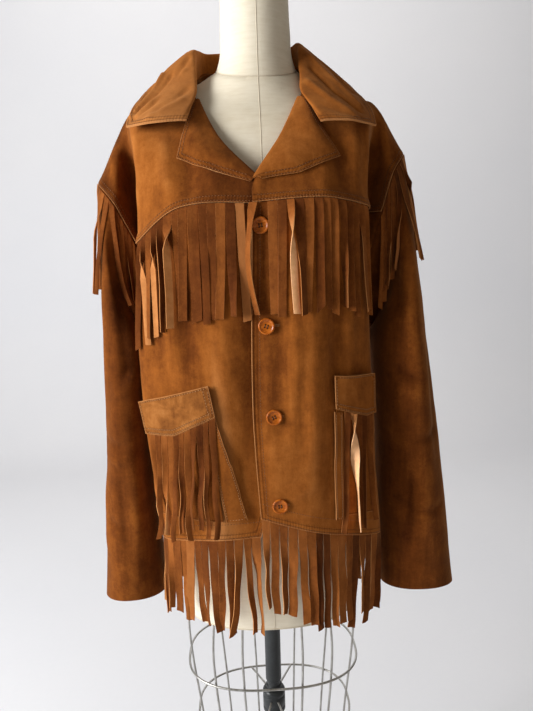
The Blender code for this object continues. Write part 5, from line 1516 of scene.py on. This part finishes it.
def spun(profile, steps):
    # a solid turned about the z axis, from radius and height
    bm = bmesh.new()
    verts = [bm.verts.new((radius, 0, height)) for radius, height in profile]
    edges = [bm.edges.new(pair) for pair in zip(verts[:-1], verts[1:])]
    bmesh.ops.spin(bm, geom=verts + edges, cent=(0, 0, 0), axis=(0, 0, 1), angle=math.tau, steps=steps,
                   use_merge=True)
    bmesh.ops.remove_doubles(bm, verts=bm.verts, dist=1e-6)
    bmesh.ops.recalc_face_normals(bm, faces=bm.faces)
    return bm


def drilledButton():
    # a turned button with four holes drilled through it
    outline = [(buttons["radius"] * share, height) for share, height in buttons["profile"]]
    blank = addBlank("buttonBlank", spun(outline, 40))
    bm, away, radius = bmesh.new(), buttons["holes"], buttons["holeRadius"]
    for x in (-away, away):
        for y in (-away, away):
            bmesh.ops.create_cone(bm, cap_ends=True, segments=12, radius1=radius, radius2=radius * 1.15,
                                  depth=0.006, matrix=Matrix.Translation((x, y, 0.0015)))
    drill = addBlank("buttonDrill", bm)
    cut = blank.modifiers.new("holes", "BOOLEAN")
    cut.operation, cut.object, cut.solver = "DIFFERENCE", drill, "EXACT"
    graph = bpy.context.evaluated_depsgraph_get()
    mesh = bpy.data.meshes.new_from_object(blank.evaluated_get(graph))
    for used in (blank, drill):
        bpy.data.objects.remove(used)
    return mesh


drilled = drilledButton()
threadBm = bmesh.new()
for index in range(len(buttons["places"])):
    node = f"button_{index + 1}"
    low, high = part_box(node)
    centre = (Vector(low) + Vector(high)) / 2
    ring = [(math.cos(t) * buttons["lieOn"], math.sin(t) * buttons["lieOn"])
            for t in np.linspace(0, math.tau, 8, endpoint=False)]
    spots = [onCloth(trees["left"], centre.x + x, centre.z + z, 0) for x, z in ring]
    normal = Vector(np.cross(spots[0] - spots[4], spots[2] - spots[6])).normalized()
    normal = -normal if normal.y > 0 else normal
    turn = normal.to_track_quat("Z", "Y").to_matrix().to_4x4()
    turn = turn @ Matrix.Rotation(buttons["tilt"][index], 4, "Z")
    back = max((Vector(spot) - centre).dot(normal) for spot in spots)
    where = Matrix.Translation(centre + normal * (back + buttons["lift"])) @ turn
    bm = bmesh.new()
    bm.from_mesh(drilled)
    bmesh.ops.transform(bm, matrix=where, verts=bm.verts)
    addMesh(f"button{index + 1}Turned", bm, [hornFinish], [node], 50)
    for side in (-1, 1):
        spot = Matrix.Translation((side * buttons["holes"], 0, buttons["threadHeight"]))
        bmesh.ops.create_icosphere(threadBm, subdivisions=2, radius=1,
                                   matrix=where @ spot @ Matrix.Diagonal((*buttons["thread"], 1)))
addMesh("buttonThread", threadBm, [buttonCord])

# buttonholes, of which one end shows beside each button
lines = []
for (x, z), end in zip(buttons["places"], buttons["holeEnds"]):
    for dz in (-buttons["holeWide"], buttons["holeWide"]):
        xs = np.linspace(x * mm - buttons["holeStart"], (x + end) * mm, 24)
        points = np.array([onCloth(trees["left"], at, z * mm + dz + 0.001, 0) for at in xs])
        lines.append((points, np.tile((0.0, -1.0, 0.0), (len(points), 1))))
sew("buttonholeStitches", lines, threadPale, cloth["wall"] / 2 + 0.0002, stitches["holePitch"])
print("buttons sewn on")


def roundPiece(name, panel, material, node):
    # a closed solid through rings, with a softened edge round its ends
    bm = bmesh.new()
    gridMesh(bm, panel["grid"], panel["normals"], True, {})
    rims = [edge for edge in bm.edges if edge.is_boundary]
    caps = bmesh.ops.holes_fill(bm, edges=rims, sides=0)["faces"]
    bmesh.ops.inset_region(bm, faces=caps, thickness=0.004, use_even_offset=True)
    addMesh(name, bm, [material], [node], 50)


turned = {  # the steps round, and the outline as radius and height in millimetres
    "poleTube": (64, ((0, 16.3), (13.4, 16.3), (14, 16.9), (14, 454.1), (13.4, 454.7), (0, 454.7))),
    "poleHead": (64, (
        (0, 502.3), (13.4, 502.3), (14, 503), (14, 508.5), (11.9, 510.5), (11.7, 511.5), (11.7, 516.5),
        (11.9, 517.6), (14, 519.8), (14, 689.1), (13.5, 689.7), (0, 689.7))),
    "poleHub": (64, (
        (0, 455), (16.4, 455), (18.6, 456.6), (20, 459.5), (20, 465), (19.3, 466), (19.3, 468), (20, 469),
        (20, 488), (19.3, 489), (19.3, 491), (20, 492), (20, 497), (18.2, 500.6), (16, 502), (0, 502))),
    "baseDish": (96, (
        (0, 0), (214, 0), (218.6, 1.2), (220, 4), (219.6, 7), (218, 9.6), (214, 10.6), (140, 12.4),
        (60, 14.4), (54, 15.2), (42, 15.9), (38, 16), (0, 16))),
    "poleSocket": (64, (
        (14.6, 689.9), (19, 689.9), (19.6, 688.9), (19.6, 684.4), (19, 683.4), (14.6, 683.4), (14.6, 689.9))),
}


def turnedPiece(name, material, nodes=()):
    steps, outline = turned[name]
    addMesh(name, spun([(r * mm, z * mm) for r, z in outline], steps), [material], nodes, 35)


roundPiece("formTorso", torsoPanel, linenFinish, "form_torso")
roundPiece("formNeck", neckPanel, linenFinish, "form_neck")
for name, node in (("poleTube", "pole"), ("poleHead", "pole_top"), ("poleHub", "hub"), ("baseDish", "base")):
    turnedPiece(name, paintFinish, [node])
capPanel = roundPanel(np.array([
    ovalRing(height, *(size * share for size in form["capSize"]), 2, 0, 0, form["sides"])
    for height, share in form["cap"]]))
roundPiece("neckCap", capPanel, paintFinish, "form_neck_cap")

# the form's seams and the turned edge round its foot
seamLines = []
for panel in (torsoPanel, neckPanel):
    for column in (3 * form["sides"] // 4, form["sides"] // 4):
        line = panel["grid"][:, column] + panel["normals"][:, column] * 0.0001
        seamLines.append((line, False, form["seam"]))
seamLines.append((neckPanel["grid"][0] + neckPanel["normals"][0] * 0.0001, True, form["neckSeam"]))
seamLines.append((torsoPanel["grid"][0] + np.array((0, 0, 0.0012)), True, form["footEdge"]))
bm = bmesh.new()
turn = np.linspace(0, math.tau, 6, endpoint=False)
for line, closed, thick in seamLines:
    ways = np.roll(line, -1, axis=0) - np.roll(line, 1, axis=0) if closed else np.gradient(line, axis=0)
    second = unit(np.cross(unit(ways), unit(line * (1, 1, 0) + 1e-9)))
    outward = unit(np.cross(second, unit(ways)))
    tube = line[:, None] + thick * (outward[:, None] * np.cos(turn)[:, None]
                                    + second[:, None] * np.sin(turn)[:, None])
    if closed:
        tube = np.concatenate([tube, tube[:1]])
    away = unit(tube - tube.mean(axis=1, keepdims=True))
    gridMesh(bm, tube, away, True, {})
bmesh.ops.remove_doubles(bm, verts=bm.verts, dist=1e-6)
addMesh("formSeams", bm, [seamFinish])
turnedPiece("poleSocket", socketFinish)
print("dress form made")


cage = {
    # sections: height, half width and half depth in millimetres
    "rows": ((689.4, 142, 99), (640, 146, 101), (580, 143, 98), (472, 131, 89), (300, 114, 78)),
    "squareness": 2.6,
    "wire": 0.0038,
    # where wires stand on the front and on the back, as shares of the half width
    "wires": {-1: (-0.69, -0.365, 0.30, 0.64), 1: (-0.66, -0.22, 0.34, 0.76)},
    "rings": (("upper", 580), ("lower", 472), ("foot", 303)),
    "struts": {-1: 28, 1: 38},  # front, back; how far they reach to the side
    "strutHeight": 484,
    "hub": 0.020,
    "air": 0.0003,  # between wires and rings
    "strutAir": 0.0008,
}


def cageTurn(share, way):
    # the angle at a share of the half width, on the front (way -1) or the back
    return way * math.acos(math.copysign(abs(share) ** (cage["squareness"] / 2), share))


def cagePoint(height, turn, outset=0.0):
    # a point on the cage, set out from it in millimetres
    rows = cage["rows"][::-1]
    reach = [np.interp(height, [r[0] for r in rows], [r[axis] for r in rows]) + outset for axis in (1, 2)]
    c, s = (math.copysign(abs(v) ** (2 / cage["squareness"]), v) for v in (math.cos(turn), math.sin(turn)))
    return np.array((reach[0] * c, reach[1] * s, height)) * mm


def wirePiece(name, points, node, closed=False):
    # a smooth round wire along the points
    curve = bpy.data.curves.new(name, "CURVE")
    curve.dimensions, curve.bevel_depth, curve.bevel_resolution = "3D", cage["wire"] / 2, 3
    curve.use_fill_caps = True
    line = curve.splines.new("POLY")
    line.points.add(len(points) - 1)
    for spot, point in zip(line.points, points):
        spot.co = (*point, 1)
    line.use_cyclic_u = closed
    line.use_smooth = True
    curve.materials.append(wireFinish)
    made = bpy.data.objects.new(name, curve)
    bpy.context.scene.collection.objects.link(made)
    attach(made, "root")
    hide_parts(node)


turns = [cageTurn(share, way) for way, shares in cage["wires"].items() for share in shares]
heights = [row[0] for row in cage["rows"]]
knots = [heights[0] - height for height in heights]
for index, turn in enumerate(sorted(turns + [0.0, math.pi])):
    net = np.array([cagePoint(height, turn) for height in heights])
    wirePiece(f"cageWire{index + 1:02d}", curveWeights(knots, np.linspace(0, knots[-1], 40)) @ net,
              f"cage_wire_{index + 1:02d}")
outset = (cage["wire"] + cage["air"]) / mm
for name, height in cage["rings"]:
    around = [cagePoint(height, turn, outset) for turn in np.linspace(0, math.tau, 160, endpoint=False)]
    wirePiece(f"cageRing{name.title()}", around, f"cage_ring_{name}", True)
ringHeight, ringWide, _ = cage["rows"][3]
for index, (way, side) in enumerate((w, s) for w in (-1, 1) for s in (-1, 1)):
    far = Vector(cagePoint(ringHeight, cageTurn(side * cage["struts"][way] / ringWide, way), outset))
    near = Vector((far.x, far.y, 0)).normalized() * cage["hub"]
    near.z = cage["strutHeight"] * mm
    along = (far - near).normalized()
    start, stop = near + along * cage["strutAir"], far - along * (cage["wire"] / 2 + cage["strutAir"])
    points = [start.lerp(stop, t) for t in (0, 0.25, 0.5, 0.75, 1)]
    wirePiece(f"strut{index + 1}", points, f"strut_{index + 1}")
print("cage bent")


# floor, light and camera
room = {
    "wall": 3.3, "width": 9.0, "bend": 0.9, "high": 6.0,  # the backdrop's place, half width, bend and height
    "lamps": {
        "key": {"place": (-3.05, -1.35, 1.75), "aim": (0, 0, 1.15), "size": (1.4, 1.8), "power": 197,
                "colour": (0.985, 0.99, 1.0)},
        "fill": {"place": (1.6, -2.9, 1.6), "aim": (0, 0, 1.1), "size": (2.0, 2.0), "power": 6,
                 "colour": (1.0, 0.86, 0.72)},
        "rim": {"place": (0.5, 2.2, 2.8), "aim": (0, 0, 1.2), "size": (2.2, 1.2), "power": 16,
                "colour": (1, 1, 1)},
        "wash": {"place": (0.2, 1.9, 3.6), "aim": (0.4, 3.3, 1.2), "size": (3.6, 0.8), "power": 22,
                 "colour": (1.0, 0.96, 0.92)},
    },
    "world": (1.0, 0.92, 0.84), "worldPower": 0.22,
}
bm = bmesh.new()
side, wall, bend = room["width"], room["wall"], room["bend"]
profile = [(-side, 0.0), (wall - bend, 0.0)]
profile += [(wall - bend * (1 - math.sin(t)), bend * (1 - math.cos(t)))
            for t in np.linspace(0, math.pi / 2, 17)[1:]]
profile += [(wall, room["high"])]
verts = [bm.verts.new((-side, y, z - 0.0005)) for y, z in profile]
edges = [bm.edges.new(pair) for pair in zip(verts[:-1], verts[1:])]
moved = bmesh.ops.extrude_edge_only(bm, edges=edges)["geom"]
bmesh.ops.translate(bm, vec=(2 * side, 0, 0), verts=[v for v in moved if isinstance(v, bmesh.types.BMVert)])
bmesh.ops.recalc_face_normals(bm, faces=bm.faces)
if bm.faces[0].normal.z < 0:
    bmesh.ops.reverse_faces(bm, faces=bm.faces)
paper = Finish("pale floor", 0.9, specular=0.1)
place = paper.place()
tone = paper.sum((paper.cloud(place, 1.3, 3), 0.5), (paper.cloud(place, 60, 3), 0.2))
paper.bump(paper.cloud(place, 220, 3), 0.08, 0.0005)
pale = paper.done(paper.ramp(tone, ((0.2, (0.76, 0.77, 0.80)), (0.8, (0.83, 0.83, 0.84)))))
floor = addBlank("floor", bm)
floor.data.shade_smooth()
floor.data.materials.append(pale)

for name, values in room["lamps"].items():
    light = bpy.data.lights.new(name, "AREA")
    light.shape, light.energy, light.color = "RECTANGLE", values["power"], values["colour"]
    light.size, light.size_y = values["size"]
    lamp = bpy.data.objects.new(name, light)
    lamp.location = values["place"]
    toward = Vector(values["aim"]) - Vector(values["place"])
    lamp.rotation_euler = toward.to_track_quat("-Z", "Y").to_euler()
    bpy.context.scene.collection.objects.link(lamp)

world = bpy.data.worlds.new("soft daylight")
world.use_nodes = True
world.node_tree.nodes["Background"].inputs["Color"].default_value = (*room["world"], 1)
world.node_tree.nodes["Background"].inputs["Strength"].default_value = room["worldPower"]
bpy.context.scene.world = world
bpy.context.scene.view_settings.view_transform = "Standard"

view = {  # yaw and roll in radians, pitch in degrees
    "place": (-0.042, -0.955, 1.30), "yaw": -0.047757568, "roll": -0.028330078, "pitch": 11.0, "lens": 30.38,
}
camera = bpy.data.objects.new("camera", bpy.data.cameras.new("camera"))
yaw, roll, pitch = view["yaw"], view["roll"], math.radians(view["pitch"])
ahead = Vector((-math.sin(yaw) * math.cos(pitch), math.cos(yaw) * math.cos(pitch), -math.sin(pitch)))
right = Vector((math.cos(yaw), math.sin(yaw), 0))
up = right.cross(ahead)
across, above = right * math.cos(roll) + up * math.sin(roll), up * math.cos(roll) - right * math.sin(roll)
pose = Matrix((across, above, -ahead)).transposed().to_4x4()
pose.translation = Vector(view["place"])
camera.matrix_world = pose
camera.data.lens, camera.data.sensor_width = view["lens"], 36
bpy.context.scene.collection.objects.link(camera)
bpy.context.scene.camera = camera
print("floor, lights and camera set")

bpy.context.view_layer.update()
